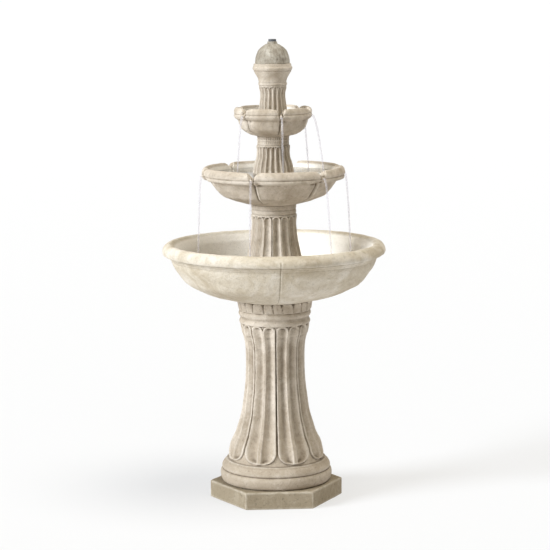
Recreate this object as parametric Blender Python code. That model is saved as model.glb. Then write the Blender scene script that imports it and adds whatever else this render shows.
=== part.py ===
"""Three-tier garden fountain in cast stone, with its pump, riser and seals.

Metres, +Z up. The origin is at the centre of the plinth's underside and the front is -Y.
The castings are stacked: plinth, pedestal, basin, then a column and a bowl twice over, and a
short column with a cup and a dome. A pump stands on the basin floor inside the lower column.
A hose runs up each column, and a pipe through a grommet carries the water past each upper
bowl's floor, so that every tier lifts straight off the one below.
"""

import math

import bmesh
import bpy
from mathutils import Matrix, Vector

# Driving dimensions -----------------------------------------------------------------------

GAP = 0.0004                 # left between pieces that touch

PLINTH_TOP = 0.054
PEDESTAL_TOP = 0.634
BASIN_FLOOR = 0.657
LOWER_COLUMN_TOP = 0.936
MIDDLE_FLOOR = 0.960
MIDDLE_CREST = 1.054
UPPER_COLUMN_TOP = 1.149
TOP_FLOOR = 1.170
TOP_CREST = 1.240
TOP_COLUMN_TOP = 1.317
CUP_TOP = 1.375
TOTAL_HEIGHT = 1.450

PLINTH_CORNER_RADIUS = 0.2106
PLINTH_TURN = 3.0            # degrees that the plinth's flats are turned from square
PLINTH_EDGE = 0.004          # chamfer of the plinth's corners and top edge
HOLLOW_RADIUS = 0.066        # of the way for the cord through the plinth and the pedestal
CORD_SLOT_WIDTH = 0.024
CORD_SLOT_HEIGHT = 0.014
WATER_ARCH_RADIUS = 0.010    # of the openings round the lower column's foot
LOWER_WALL_RADIUS = 0.070    # inside the lower column, round the pump
LOWER_BORE_RADIUS = 0.040
UPPER_WALL_RADIUS = 0.045
UPPER_BORE_RADIUS = 0.027
CROWN_BORE_RADIUS = 0.023    # through the top column, the cup and the dome
PEDESTAL_FLUTE_DEPTH = 0.007
LOWER_FLUTE_DEPTH = 0.006
UPPER_FLUTE_DEPTH = 0.004
TOP_FLUTE_DEPTH = 0.003
CUT_PAST = 0.01              # how far a cutter reaches past a face

COLUMN_SIDES = 32            # two for each flute
BASIN_SIDES = 40
MIDDLE_BOWL_SIDES = 48
TOP_BOWL_SIDES = 36
FINIAL_SIDES = 20
SMALL_SIDES = 16
TUBE_SIDES = 12
FLUTE_TURN = 1.5             # degrees from the front to the nearest arris

LIPS = 6                     # pouring lips on each upper bowl
MIDDLE_LIP_TURN = -17.5      # degrees from the front to the nearest lip
TOP_LIP_TURN = 12.0
MIDDLE_LIP_REACH = 0.008
MIDDLE_LIP_DROP = 0.018
TOP_LIP_REACH = 0.005
TOP_LIP_DROP = 0.013

HOSE_RADIUS = 0.009
HOSE_BORE = 0.0065
PIPE_RADIUS = 0.006          # of the pump's spigot and of the pipes through the bowls
PIPE_BORE = 0.004
PIPE_OVERLAP = 0.015         # how far a pipe reaches into a hose
PIPE_BELOW = 0.021           # how far a pipe stands out below a column's top
PIPE_ABOVE = 0.025           # and above a bowl's floor
SLEEVE_GAP = 0.001           # between a column's top and the grommet's sleeve above it
FLANGE_THICKNESS = 0.004
NOZZLE_SEAT = 1.410
NOZZLE_NECK = 0.0095
NOZZLE_HEAD = 0.0122         # the head stands in the dome's outlet and shows above it
NOZZLE_BORE = 0.0080
DOME_OUTLET_RADIUS = 0.0128
DOME_TOP = 1.4425
MIDDLE_HOLE_RADIUS = 0.020
MIDDLE_FLANGE_RADIUS = 0.026
TOP_HOLE_RADIUS = 0.016
TOP_FLANGE_RADIUS = 0.0205
STOPPER_X = -0.048
STOPPER_RADIUS = 0.012

# The pump lies along Y and its impeller chamber is under the hose.
PUMP_BASE = BASIN_FLOOR + 0.007
PUMP_HALF_WIDTH = 0.026
PUMP_HEIGHT = 0.047
VOLUTE_FRONT = -0.013
VOLUTE_BACK = 0.012
HOUSING_BACK = 0.052
GRILLE_FRONT = -0.036
AXIS_HEIGHT = PUMP_BASE + 0.0235
CHAMBER_RADIUS = 0.0165
MAGNET_RADIUS = 0.0095
MAGNET_BORE = 0.0043
SHAFT_RADIUS = 0.0015
BUSH_RADIUS = 0.0032
BUSH_POCKET = 0.0036
SPIGOT_TOP = PUMP_BASE + 0.071
SPIGOT_OVERLAP = 0.020       # how far the hose is pushed over the spigot
CLAMP_REACH = 0.0138         # from the hose's axis to the clamp's screw
FOOT_RADIUS = 0.009
STOPPER_FOOT = 0.638
STOPPER_FLANGE = 0.0155


def clear_scene():
    for thing in list(bpy.data.objects):
        bpy.data.objects.remove(thing)


def make_material(name, colour, roughness, metallic=0.0):
    material = bpy.data.materials.new(name)
    material.use_nodes = True
    shader = material.node_tree.nodes["Principled BSDF"]
    shader.inputs["Base Color"].default_value = (*colour, 1.0)
    shader.inputs["Roughness"].default_value = roughness
    shader.inputs["Metallic"].default_value = metallic
    return material


def make_group(name, location=(0.0, 0.0, 0.0)):
    group = bpy.data.objects.new(name, None)
    group.location = location
    bpy.context.scene.collection.objects.link(group)
    return group


def add_object(name, mesh, material, group, location=(0.0, 0.0, 0.0)):
    """Links a mesh as an object under its group; location is in the world."""
    mesh.materials.append(material)
    mesh.shade_smooth()
    mesh.set_sharp_from_angle(angle=math.radians(35))
    thing = bpy.data.objects.new(name, mesh)
    bpy.context.scene.collection.objects.link(thing)
    thing.parent = group
    thing.location = Vector(location) - group.location
    return thing


def mesh_from(bm, name):
    bmesh.ops.recalc_face_normals(bm, faces=bm.faces)
    mesh = bpy.data.meshes.new(name)
    bm.to_mesh(mesh)
    bm.free()
    return mesh


def combine(thing, tool, operation):
    """Cuts thing with tool, or joins them, with a Boolean that stays on the object."""
    tool.hide_render = True
    tool.display_type = "WIRE"
    modifier = thing.modifiers.new(tool.name, "BOOLEAN")
    modifier.operation = operation
    modifier.solver = "EXACT"
    modifier.object = tool


# Outlines ---------------------------------------------------------------------------------


def arc(radius, height, wide, tall, first, last, steps):
    """Points of an ellipse's arc about (radius, height), from angle first to last in degrees."""
    points = []
    for step in range(steps + 1):
        angle = math.radians(first + (last - first) * step / steps)
        points.append((radius + wide * math.cos(angle), height + tall * math.sin(angle)))
    return points


def fluted(points, depth):
    """Marks outline points as carrying flutes of that depth."""
    return [(radius, height, depth) for radius, height in points]


def sweep(points, steps):
    """A smooth curve through a few points, with steps pieces between each two."""
    result = []
    count = len(points)
    for index in range(count - 1):
        before = Vector(points[max(index - 1, 0)])
        start = Vector(points[index])
        end = Vector(points[index + 1])
        after = Vector(points[min(index + 2, count - 1)])
        for step in range(steps):
            t = step / steps
            bend = 2 * before - 5 * start + 4 * end - after
            twist = 3 * start - before - 3 * end + after
            result.append(tuple(start + 0.5 * t * (end - before + t * (bend + t * twist))))
    result.append(tuple(points[-1]))
    return result


def front_angle(turn):
    """The angle about Z of a direction that is turn degrees from the front, towards +X."""
    return math.radians(turn - 90.0)


def turned(name, outline, sides, start=0.0, move=None):
    """Spins an outline of (radius, height) or (radius, height, weight) about Z.

    The outline is a closed loop, or it starts and ends on the axis. move(step, weight) gives
    how far a point with a weight shifts outwards and upwards at each step around.
    """
    bm = bmesh.new()
    rings = []
    for radius, height, *rest in outline:
        ring = []
        for step in range(sides if radius > 0 else 1):
            angle = start + 2 * math.pi * step / sides
            outwards, upwards = move(step, rest[0]) if move and rest else (0.0, 0.0)
            reach = radius + outwards
            place = (reach * math.cos(angle), reach * math.sin(angle), height + upwards)
            ring.append(bm.verts.new(place))
        rings.append(ring)
    closed = outline[0][0] > 0
    for row in range(len(rings) if closed else len(rings) - 1):
        lower = rings[row]
        upper = rings[(row + 1) % len(rings)]
        for step in range(sides):
            following = (step + 1) % sides
            corners = [lower[step % len(lower)], lower[following % len(lower)]]
            corners += [upper[following % len(upper)], upper[step % len(upper)]]
            bm.faces.new(list(dict.fromkeys(corners)))
    return mesh_from(bm, name)


def flute_move(step, depth):
    return (-depth, 0.0) if step % 2 else (0.0, 0.0)


def lip_move(sides, reach, drop):
    """The rim's points at each of the lips are drawn out and down."""
    every = sides // LIPS

    def move(step, weight):
        return (0.0, 0.0) if step % every else (reach * weight, -drop * weight)

    return move


# Simple solids ----------------------------------------------------------------------------


def block(name, low, high, bevel=0.0):
    """A box between two corners, with its edges rounded."""
    low = Vector(low)
    high = Vector(high)
    bm = bmesh.new()
    bmesh.ops.create_cube(bm, size=1.0)
    bmesh.ops.scale(bm, vec=high - low, verts=bm.verts)
    bmesh.ops.translate(bm, vec=(low + high) / 2, verts=bm.verts)
    if bevel:
        bmesh.ops.bevel(bm, geom=bm.edges[:], offset=bevel, segments=2, affect="EDGES", profile=0.5)
    return mesh_from(bm, name)


def rod(name, radius, start, end, sides=SMALL_SIDES):
    """A round bar between two points."""
    start = Vector(start)
    end = Vector(end)
    along = end - start
    bm = bmesh.new()
    bmesh.ops.create_cone(
        bm, cap_ends=True, segments=sides, radius1=radius, radius2=radius, depth=along.length
    )
    turn = Vector((0.0, 0.0, 1.0)).rotation_difference(along.normalized()).to_matrix().to_4x4()
    bmesh.ops.transform(bm, matrix=Matrix.Translation((start + end) / 2) @ turn, verts=bm.verts)
    return mesh_from(bm, name)


def laid_along_y(mesh):
    """Lays a piece turned about Z down along Y, with its top end towards +Y."""
    mesh.transform(Matrix.Rotation(math.radians(-90.0), 4, "X"))
    return mesh


def cutter(name, mesh, group, location=(0.0, 0.0, 0.0)):
    thing = bpy.data.objects.new(name, mesh)
    bpy.context.scene.collection.objects.link(thing)
    thing.parent = group
    thing.location = Vector(location) - group.location
    return thing


# Castings ---------------------------------------------------------------------------------


def make_plinth(material, group):
    bm = bmesh.new()
    turn = Matrix.Rotation(math.radians(PLINTH_TURN), 4, "Z")
    bmesh.ops.create_cone(
        bm,
        cap_ends=True,
        segments=6,
        radius1=PLINTH_CORNER_RADIUS,
        radius2=PLINTH_CORNER_RADIUS,
        depth=PLINTH_TOP,
        matrix=Matrix.Rotation(math.radians(90.0), 4, "Z"),
    )
    bmesh.ops.transform(bm, matrix=turn, verts=bm.verts)
    bmesh.ops.translate(bm, vec=(0.0, 0.0, PLINTH_TOP / 2), verts=bm.verts)
    edges = [edge for edge in bm.edges if max(vert.co.z for vert in edge.verts) > PLINTH_TOP / 2]
    bmesh.ops.bevel(bm, geom=edges, offset=PLINTH_EDGE, segments=1, affect="EDGES")
    plinth = add_object("plinth", mesh_from(bm, "plinth"), material, group)
    hole = rod("plinth_hole", HOLLOW_RADIUS, (0, 0, -CUT_PAST), (0, 0, PLINTH_TOP + CUT_PAST), 24)
    combine(plinth, cutter("plinth_hole", hole, group), "DIFFERENCE")
    half = CORD_SLOT_WIDTH / 2
    slot_end = (half, PLINTH_CORNER_RADIUS + CUT_PAST, CORD_SLOT_HEIGHT)
    slot = block("plinth_slot", (-half, 0.0, -CUT_PAST), slot_end)
    combine(plinth, cutter("plinth_slot", slot, group), "DIFFERENCE")
    return plinth


def make_pedestal(material, group):
    bottom = PLINTH_TOP + GAP
    lower_torus = arc(0.158, 0.0805, 0.019, 0.0155, -60, 80, 4)
    upper_torus = [(0.172, 0.101), (0.168, 0.110), (0.163, 0.119), (0.158, 0.124)]
    leaves = sweep([(0.154, 0.136), (0.146, 0.172), (0.123, 0.225), (0.103, 0.305), (0.0935, 0.425)], 2)
    leaves += sweep([(0.0935, 0.450), (0.0975, 0.512), (0.106, 0.545)], 2)
    neck = [(0.109, 0.555), (0.1116, 0.567), (0.109, 0.578)]
    neck += [(0.111, 0.584), (0.114, 0.592), (0.113, 0.598), (0.115, 0.603)]
    collar = [(0.1155, 0.614), (0.118, PEDESTAL_TOP)]
    bore = [(HOLLOW_RADIUS, PEDESTAL_TOP), (HOLLOW_RADIUS, bottom)]
    outline = [(0.166, bottom)] + lower_torus + upper_torus + fluted(leaves, PEDESTAL_FLUTE_DEPTH)
    outline += neck + collar
    mesh = turned("pedestal", outline + bore, COLUMN_SIDES, front_angle(FLUTE_TURN), flute_move)
    return add_object("pedestal", mesh, material, group)


def make_basin(material, group):
    bottom = PEDESTAL_TOP + GAP
    outside = sweep([(0.119, bottom), (0.205, 0.656), (0.270, 0.687), (0.308, 0.733), (0.322, 0.760)], 2)
    rim = [(0.333, 0.770)] + arc(0.327, 0.7915, 0.024, 0.024, -40, 90, 5) + [(0.312, 0.812), (0.304, 0.800)]
    inside = sweep([(0.297, 0.782), (0.276, 0.742), (0.236, 0.699), (0.125, BASIN_FLOOR)], 2)
    outline = [(0.0, bottom)] + outside + rim + inside + [(0.0, BASIN_FLOOR)]
    basin = add_object("basin", turned("basin", outline, BASIN_SIDES), material, group)
    hole_low = (STOPPER_X, 0.0, bottom - CUT_PAST)
    hole_high = (STOPPER_X, 0.0, BASIN_FLOOR + CUT_PAST)
    hole = rod("basin_hole", STOPPER_RADIUS, hole_low, hole_high)
    combine(basin, cutter("basin_hole", hole, group), "DIFFERENCE")
    return basin


def make_lower_column(material, group):
    bottom = BASIN_FLOOR + GAP
    top = LOWER_COLUMN_TOP
    shaft = sweep([(0.103, 0.675), (0.0857, 0.773), (0.073, 0.832), (0.0695, 0.884)], 2)
    neck = [(0.0705, 0.889), (0.072, 0.8965), (0.0690, 0.907), (0.0702, 0.915), (0.069, 0.922)]
    neck += [(0.070, top)]
    bore = [(LOWER_BORE_RADIUS, top), (LOWER_BORE_RADIUS, 0.840), (0.055, 0.790)]
    bore += [(LOWER_WALL_RADIUS, 0.742), (LOWER_WALL_RADIUS, bottom)]
    outline = [(0.105, bottom)] + fluted(shaft, LOWER_FLUTE_DEPTH) + neck + bore
    mesh = turned("lower_column", outline, COLUMN_SIDES, front_angle(FLUTE_TURN), flute_move)
    column = add_object("lower_column", mesh, material, group)
    for number, turn in enumerate((90.0, 180.0, 270.0)):
        arch = rod("water_arch", WATER_ARCH_RADIUS, (0.0, 0.0, bottom), (0.0, -0.15, bottom), 12)
        arch.transform(Matrix.Rotation(math.radians(turn), 4, "Z"))
        combine(column, cutter(f"water_arch_{number}", arch, group), "DIFFERENCE")
    return column


def make_middle_bowl(material, group):
    bottom = LOWER_COLUMN_TOP + GAP
    outside = [(MIDDLE_HOLE_RADIUS, bottom), (0.0695, bottom)]
    outside += sweep([(0.104, 0.945), (0.159, 0.964), (0.185, 0.993), (0.198, 1.011)], 2)
    rim = [(0.208, 1.0145), (0.2225, 1.020, 0.3), (0.2235, 1.033, 0.5), (0.2195, 1.046, 0.9)]
    rim += [(0.212, MIDDLE_CREST, 1.0), (0.204, 1.050, 1.0), (0.198, 1.038, 0.7), (0.192, 1.026, 0.3)]
    inside = sweep([(0.178, 1.004), (0.130, 0.970), (0.095, MIDDLE_FLOOR)], 2)
    outline = outside + rim + inside + [(MIDDLE_HOLE_RADIUS, MIDDLE_FLOOR)]
    move = lip_move(MIDDLE_BOWL_SIDES, MIDDLE_LIP_REACH, MIDDLE_LIP_DROP)
    mesh = turned("middle_bowl", outline, MIDDLE_BOWL_SIDES, front_angle(MIDDLE_LIP_TURN), move)
    return add_object("middle_bowl", mesh, material, group)


def make_upper_column(material, group):
    bottom = MIDDLE_FLOOR + GAP
    top = UPPER_COLUMN_TOP
    shaft = sweep([(0.076, 0.974), (0.0645, 1.034), (0.0535, 1.079), (0.0512, 1.106)], 2)
    neck = [(0.0515, 1.110), (0.0525, 1.1165), (0.049, 1.126), (0.050, 1.136), (0.0495, top)]
    bore = [(UPPER_BORE_RADIUS, top), (UPPER_BORE_RADIUS, 1.060)]
    bore += [(UPPER_WALL_RADIUS, 1.000), (UPPER_WALL_RADIUS, bottom)]
    outline = [(0.077, bottom)] + fluted(shaft, UPPER_FLUTE_DEPTH) + neck + bore
    mesh = turned("upper_column", outline, COLUMN_SIDES, front_angle(FLUTE_TURN), flute_move)
    return add_object("upper_column", mesh, material, group)


def make_top_bowl(material, group):
    bottom = UPPER_COLUMN_TOP + GAP
    outside = [(TOP_HOLE_RADIUS, bottom), (0.0495, bottom)]
    outside += sweep([(0.0705, 1.1555), (0.098, 1.171), (0.108, 1.199)], 2)
    rim = [(0.114, 1.202), (0.1215, 1.208, 0.3), (0.122, 1.219, 0.5), (0.119, 1.232, 0.9)]
    rim += [(0.112, TOP_CREST, 1.0), (0.105, 1.236, 1.0), (0.099, 1.226, 0.7), (0.095, 1.214, 0.3)]
    inside = sweep([(0.088, 1.197), (0.056, TOP_FLOOR)], 2)
    outline = outside + rim + inside + [(TOP_HOLE_RADIUS, TOP_FLOOR)]
    move = lip_move(TOP_BOWL_SIDES, TOP_LIP_REACH, TOP_LIP_DROP)
    mesh = turned("top_bowl", outline, TOP_BOWL_SIDES, front_angle(TOP_LIP_TURN), move)
    return add_object("top_bowl", mesh, material, group)


def make_top_column(material, group):
    bottom = TOP_FLOOR + GAP
    top = TOP_COLUMN_TOP - GAP
    shaft = sweep([(0.051, 1.184), (0.0435, 1.243), (0.0394, 1.274), (0.0405, 1.292)], 2)
    neck = [(0.0425, 1.298), (0.043, 1.305), (0.0448, 1.311), (0.043, top)]
    bore = [(CROWN_BORE_RADIUS, top), (CROWN_BORE_RADIUS, bottom)]
    outline = [(0.052, bottom)] + fluted(shaft, TOP_FLUTE_DEPTH) + neck + bore
    mesh = turned("top_column", outline, COLUMN_SIDES, front_angle(FLUTE_TURN), flute_move)
    return add_object("top_column", mesh, material, group)


def make_finial_cup(material, group):
    bottom = TOP_COLUMN_TOP
    top = CUP_TOP - GAP
    outside = sweep([(0.043, bottom), (0.0475, 1.333), (0.0586, 1.354), (0.0615, 1.363), (0.0575, top)], 2)
    outline = outside + [(CROWN_BORE_RADIUS, top), (CROWN_BORE_RADIUS, bottom)]
    return add_object("finial_cup", turned("finial_cup", outline, FINIAL_SIDES), material, group)


def make_finial_dome(material, group):
    bottom = CUP_TOP
    top = DOME_TOP
    ball = sweep([(0.054, bottom), (0.053, 1.388), (0.0465, 1.4085), (0.033, 1.4235)], 2)
    ball += [(0.024, 1.4315), (0.0158, 1.4355)]
    collar = [(0.0150, 1.437), (0.0150, top - 0.001), (0.0142, top)]
    outlet = DOME_OUTLET_RADIUS
    bore = [(outlet, top), (outlet, 1.429), (CROWN_BORE_RADIUS, 1.415), (CROWN_BORE_RADIUS, bottom)]
    mesh = turned("finial_dome", ball + collar + bore, FINIAL_SIDES)
    return add_object("finial_dome", mesh, material, group)


# Water line -------------------------------------------------------------------------------


def make_hose(name, low, high, material, group):
    outline = [(HOSE_RADIUS, low), (HOSE_RADIUS, high), (HOSE_BORE, high), (HOSE_BORE, low)]
    return add_object(name, turned(name, outline, TUBE_SIDES), material, group)


def make_pipe(name, low, high, material, group):
    outline = [(PIPE_RADIUS, low), (PIPE_RADIUS, high), (PIPE_BORE, high), (PIPE_BORE, low)]
    return add_object(name, turned(name, outline, TUBE_SIDES), material, group)


def make_nozzle(material, group):
    low = NOZZLE_SEAT - PIPE_OVERLAP
    seat = NOZZLE_SEAT + GAP
    outside = [(PIPE_RADIUS, low), (PIPE_RADIUS, seat), (0.0112, seat), (0.0112, 1.417)]
    outside += [(NOZZLE_NECK, 1.419), (NOZZLE_NECK, 1.434), (NOZZLE_HEAD, 1.438)]
    outside += [(NOZZLE_HEAD, TOTAL_HEIGHT - 0.0015), (NOZZLE_HEAD - 0.0015, TOTAL_HEIGHT)]
    bore = [(NOZZLE_BORE, TOTAL_HEIGHT), (NOZZLE_BORE, 1.440), (PIPE_BORE, 1.436), (PIPE_BORE, low)]
    mesh = turned("outlet_nozzle", outside + bore, SMALL_SIDES)
    return add_object("outlet_nozzle", mesh, material, group)


def make_grommet(name, hole, flange, low, floor, material, group):
    """A flanged rubber sleeve that seals a pipe in a bowl's floor."""
    body = hole - GAP
    bore = PIPE_RADIUS + GAP
    outline = [(body, low), (body, floor + GAP), (flange, floor + GAP)]
    outline += [(flange, floor + FLANGE_THICKNESS), (bore, floor + FLANGE_THICKNESS), (bore, low)]
    return add_object(name, turned(name, outline, SMALL_SIDES), material, group)


def make_water_line(hose_material, pipe_material, rubber, base, lower_tier, upper_tier):
    """Hose, pipe, hose, pipe, hose: each piece stays on the tier that it is fixed to."""
    sleeve_low = LOWER_COLUMN_TOP + SLEEVE_GAP
    pipe_low = LOWER_COLUMN_TOP - PIPE_BELOW
    pipe_high = MIDDLE_FLOOR + PIPE_ABOVE
    make_hose("lower_hose", SPIGOT_TOP - SPIGOT_OVERLAP, pipe_low + PIPE_OVERLAP, hose_material, base)
    make_pipe("middle_bowl_pipe", pipe_low, pipe_high, pipe_material, lower_tier)
    radii = (MIDDLE_HOLE_RADIUS, MIDDLE_FLANGE_RADIUS)
    make_grommet("middle_bowl_grommet", *radii, sleeve_low, MIDDLE_FLOOR, rubber, lower_tier)

    hose_low = pipe_high - PIPE_OVERLAP
    sleeve_low = UPPER_COLUMN_TOP + SLEEVE_GAP
    pipe_low = UPPER_COLUMN_TOP - PIPE_BELOW
    pipe_high = TOP_FLOOR + PIPE_ABOVE
    make_hose("middle_hose", hose_low, pipe_low + PIPE_OVERLAP, hose_material, lower_tier)
    make_pipe("top_bowl_pipe", pipe_low, pipe_high, pipe_material, upper_tier)
    radii = (TOP_HOLE_RADIUS, TOP_FLANGE_RADIUS)
    make_grommet("top_bowl_grommet", *radii, sleeve_low, TOP_FLOOR, rubber, upper_tier)

    make_hose("upper_hose", pipe_high - PIPE_OVERLAP, NOZZLE_SEAT, hose_material, upper_tier)


def make_stopper(material, group):
    body = STOPPER_RADIUS - GAP
    seat = BASIN_FLOOR + GAP
    outline = [(body - 0.001, STOPPER_FOOT), (body, seat), (STOPPER_FLANGE, seat)]
    outline += [(STOPPER_FLANGE - 0.0005, seat + 0.004), (0.004, seat + 0.004), (0.004, STOPPER_FOOT)]
    mesh = turned("basin_stopper", outline, SMALL_SIDES)
    return add_object("basin_stopper", mesh, material, group, (STOPPER_X, 0.0, 0.0))


def make_hose_clamp(band_material, screw_material, group):
    low = SPIGOT_TOP - 0.014
    high = SPIGOT_TOP - 0.006
    inner = HOSE_RADIUS + GAP
    outer = inner + 0.0012
    band = turned("hose_clamp", [(outer, low), (outer, high), (inner, high), (inner, low)], SMALL_SIDES)
    clamp = add_object("hose_clamp", band, band_material, group)
    lug = block("clamp_lug", (0.0098, -0.005, low - 0.0005), (0.0172, 0.005, high + 0.0005), 0.0008)
    combine(clamp, cutter("clamp_lug", lug, group), "UNION")
    middle = (low + high) / 2
    bore = rod("clamp_bore", 0.0024, (CLAMP_REACH, -0.02, middle), (CLAMP_REACH, 0.02, middle), 12)
    combine(clamp, cutter("clamp_bore", bore, group), "DIFFERENCE")
    shank = [(0.0, -0.0095), (0.0034, -0.0095), (0.0034, -0.0055), (0.0020, -0.0055)]
    shank += [(0.0020, 0.0045), (0.0, 0.0045)]
    screw = laid_along_y(turned("clamp_screw", shank, 12))
    add_object("clamp_screw", screw, screw_material, group, (CLAMP_REACH, 0.0, middle))
    return clamp


# Pump -------------------------------------------------------------------------------------


def make_pump_housing(material, group):
    half = PUMP_HALF_WIDTH
    low = (-half, VOLUTE_BACK + GAP, PUMP_BASE)
    high = (half, HOUSING_BACK, PUMP_BASE + PUMP_HEIGHT)
    housing = add_object("pump_housing", block("pump_housing", low, high, 0.004), material, group)
    bore = rod("rotor_bore", MAGNET_RADIUS + 0.001, (0, 0, AXIS_HEIGHT), (0, 0.044, AXIS_HEIGHT), 20)
    combine(housing, cutter("rotor_bore", bore, group), "DIFFERENCE")
    pocket = rod("rear_pocket", BUSH_POCKET, (0, 0.04, AXIS_HEIGHT), (0, 0.049, AXIS_HEIGHT), 12)
    combine(housing, cutter("rear_pocket", pocket, group), "DIFFERENCE")
    return housing


def make_pump_volute(material, group):
    half = PUMP_HALF_WIDTH - 0.002
    low = (-half, VOLUTE_FRONT, PUMP_BASE)
    high = (half, VOLUTE_BACK, PUMP_BASE + PUMP_HEIGHT - 0.002)
    volute = add_object("pump_volute", block("pump_volute", low, high, 0.003), material, group)
    spigot = rod("spigot", PIPE_RADIUS, (0, 0, AXIS_HEIGHT + 0.017), (0, 0, SPIGOT_TOP))
    combine(volute, cutter("spigot", spigot, group), "UNION")
    bore = rod("spigot_bore", PIPE_BORE, (0, 0, AXIS_HEIGHT + 0.001), (0, 0, SPIGOT_TOP + 0.01), 12)
    combine(volute, cutter("spigot_bore", bore, group), "DIFFERENCE")
    chamber = rod("chamber", CHAMBER_RADIUS, (0, -0.001, AXIS_HEIGHT), (0, 0.02, AXIS_HEIGHT), 24)
    combine(volute, cutter("chamber", chamber, group), "DIFFERENCE")
    pocket = rod("front_pocket", BUSH_POCKET, (0, -0.006, AXIS_HEIGHT), (0, 0.002, AXIS_HEIGHT), 12)
    combine(volute, cutter("front_pocket", pocket, group), "DIFFERENCE")
    for number in range(4):
        angle = math.radians(45 + 90 * number)
        x = 0.0085 * math.cos(angle)
        z = AXIS_HEIGHT + 0.0085 * math.sin(angle)
        inlet = rod("inlet", 0.003, (x, -0.03, z), (x, 0.002, z), 8)
        combine(volute, cutter(f"inlet_{number}", inlet, group), "DIFFERENCE")
    return volute


def make_intake(grille_material, foam_material, group):
    half = PUMP_HALF_WIDTH - 0.0015
    wall = 0.0025
    back = VOLUTE_FRONT - GAP
    low = PUMP_BASE + 0.0005
    high = PUMP_BASE + PUMP_HEIGHT - 0.0025
    shell = block("intake_grille", (-half, GRILLE_FRONT, low), (half, back, high), 0.002)
    grille = add_object("intake_grille", shell, grille_material, group)
    inner_low = (wall - half, GRILLE_FRONT + wall, low + wall)
    inner_high = (half - wall, back + 0.01, high - wall)
    hollow = block("grille_hollow", inner_low, inner_high)
    combine(grille, cutter("grille_hollow", hollow, group), "DIFFERENCE")
    for number in range(4):
        level = low + 0.0085 + 0.009 * number
        slot_low = (-0.04, GRILLE_FRONT + 0.006, level - 0.0015)
        slot_high = (0.04, back - 0.004, level + 0.0015)
        slot = block("slot", slot_low, slot_high)
        combine(grille, cutter(f"grille_slot_{number}", slot, group), "DIFFERENCE")
    hole = rod("dial_hole", 0.0032, (0, -0.05, AXIS_HEIGHT), (0, -0.03, AXIS_HEIGHT), 12)
    combine(grille, cutter("dial_hole", hole, group), "DIFFERENCE")
    margin = 0.0006
    foam_low = (inner_low[0] + margin, inner_low[1] + margin, inner_low[2] + margin)
    foam_high = (inner_high[0] - margin, back - margin, inner_high[2] - margin)
    foam = add_object("filter_foam", block("filter_foam", foam_low, foam_high), foam_material, group)
    gap = rod("foam_hole", 0.005, (0, -0.05, AXIS_HEIGHT), (0, 0.0, AXIS_HEIGHT), 12)
    combine(foam, cutter("foam_hole", gap, group), "DIFFERENCE")
    return grille


def make_flow_dial(material, group):
    """A lobed knob on a short pin, turning in the front of the grille about Y."""
    knob = [(0.0085, 0.0, 0.001), (0.0090, 0.0008, 0.001), (0.0085, 0.0044, 0.0008)]
    pin = [(0.0028, 0.0044), (0.0028, 0.0100), (0.0, 0.0100)]
    mesh = laid_along_y(turned("flow_dial", [(0.0, 0.0)] + knob + pin, 20, 0.0, flute_move))
    place = (0.0, GRILLE_FRONT - 0.0044 - GAP, AXIS_HEIGHT)
    return add_object("flow_dial", mesh, material, group, place)


def make_rotor(impeller_material, magnet_material, group):
    """The impeller's sleeve carries the magnet, and both turn on the fixed shaft about Y."""
    place = (0.0, 0.0, AXIS_HEIGHT)
    bore = SHAFT_RADIUS + GAP
    hub = [(0.0055, 0.0012), (0.0055, 0.0105), (0.0038, 0.0115), (0.0038, 0.0430)]
    hub += [(bore, 0.0430), (bore, 0.0012)]
    mesh = laid_along_y(turned("impeller", hub, SMALL_SIDES))
    impeller = add_object("impeller", mesh, impeller_material, group, place)
    for number in range(4):
        blade = block("blade", (0.0040, 0.0022, -0.0009), (0.0145, 0.0095, 0.0009))
        blade.transform(Matrix.Rotation(math.radians(90 * number), 4, "Y"))
        combine(impeller, cutter(f"blade_{number}", blade, group, place), "UNION")
    inner = MAGNET_BORE
    outer = MAGNET_RADIUS
    ring = [(outer, 0.0135), (outer, 0.0420), (inner, 0.0420), (inner, 0.0135)]
    magnet = laid_along_y(turned("rotor_magnet", ring, 20))
    add_object("rotor_magnet", magnet, magnet_material, group, place)
    return impeller


def make_shaft(shaft_material, bush_material, group):
    start = (0.0, -0.0045, AXIS_HEIGHT)
    end = (0.0, 0.0480, AXIS_HEIGHT)
    shaft = rod("impeller_shaft", SHAFT_RADIUS, start, end, 12)
    add_object("impeller_shaft", shaft, shaft_material, group)
    bore = SHAFT_RADIUS + GAP
    for name, low in (("front_bush", -0.0055), ("rear_bush", 0.0443)):
        high = low + 0.0044
        ring = [(BUSH_RADIUS, low), (BUSH_RADIUS, high), (bore, high), (bore, low)]
        mesh = laid_along_y(turned(name, ring, 12))
        add_object(name, mesh, bush_material, group, (0.0, 0.0, AXIS_HEIGHT))


def make_cable_gland(material, group):
    start = HOUSING_BACK + GAP
    ring = [(0.0060, start), (0.0060, start + 0.003), (0.0046, start + 0.004), (0.0038, 0.0640)]
    ring += [(0.0026, 0.0640), (0.0026, start)]
    mesh = laid_along_y(turned("cable_gland", ring, SMALL_SIDES))
    return add_object("cable_gland", mesh, material, group, (0.0, 0.0, PUMP_BASE + 0.012))


def make_feet(material, group):
    number = 0
    for y in (-0.005, 0.040):
        for x in (-0.016, 0.016):
            number += 1
            low = BASIN_FLOOR + GAP
            high = PUMP_BASE - GAP
            outline = [(0.0, low), (FOOT_RADIUS, low), (0.0082, low + 0.002), (0.0045, low + 0.003)]
            outline += [(0.0045, high), (0.0, high)]
            name = f"suction_foot_{number}"
            add_object(name, turned(name, outline, SMALL_SIDES), material, group, (x, y, 0.0))


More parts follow.
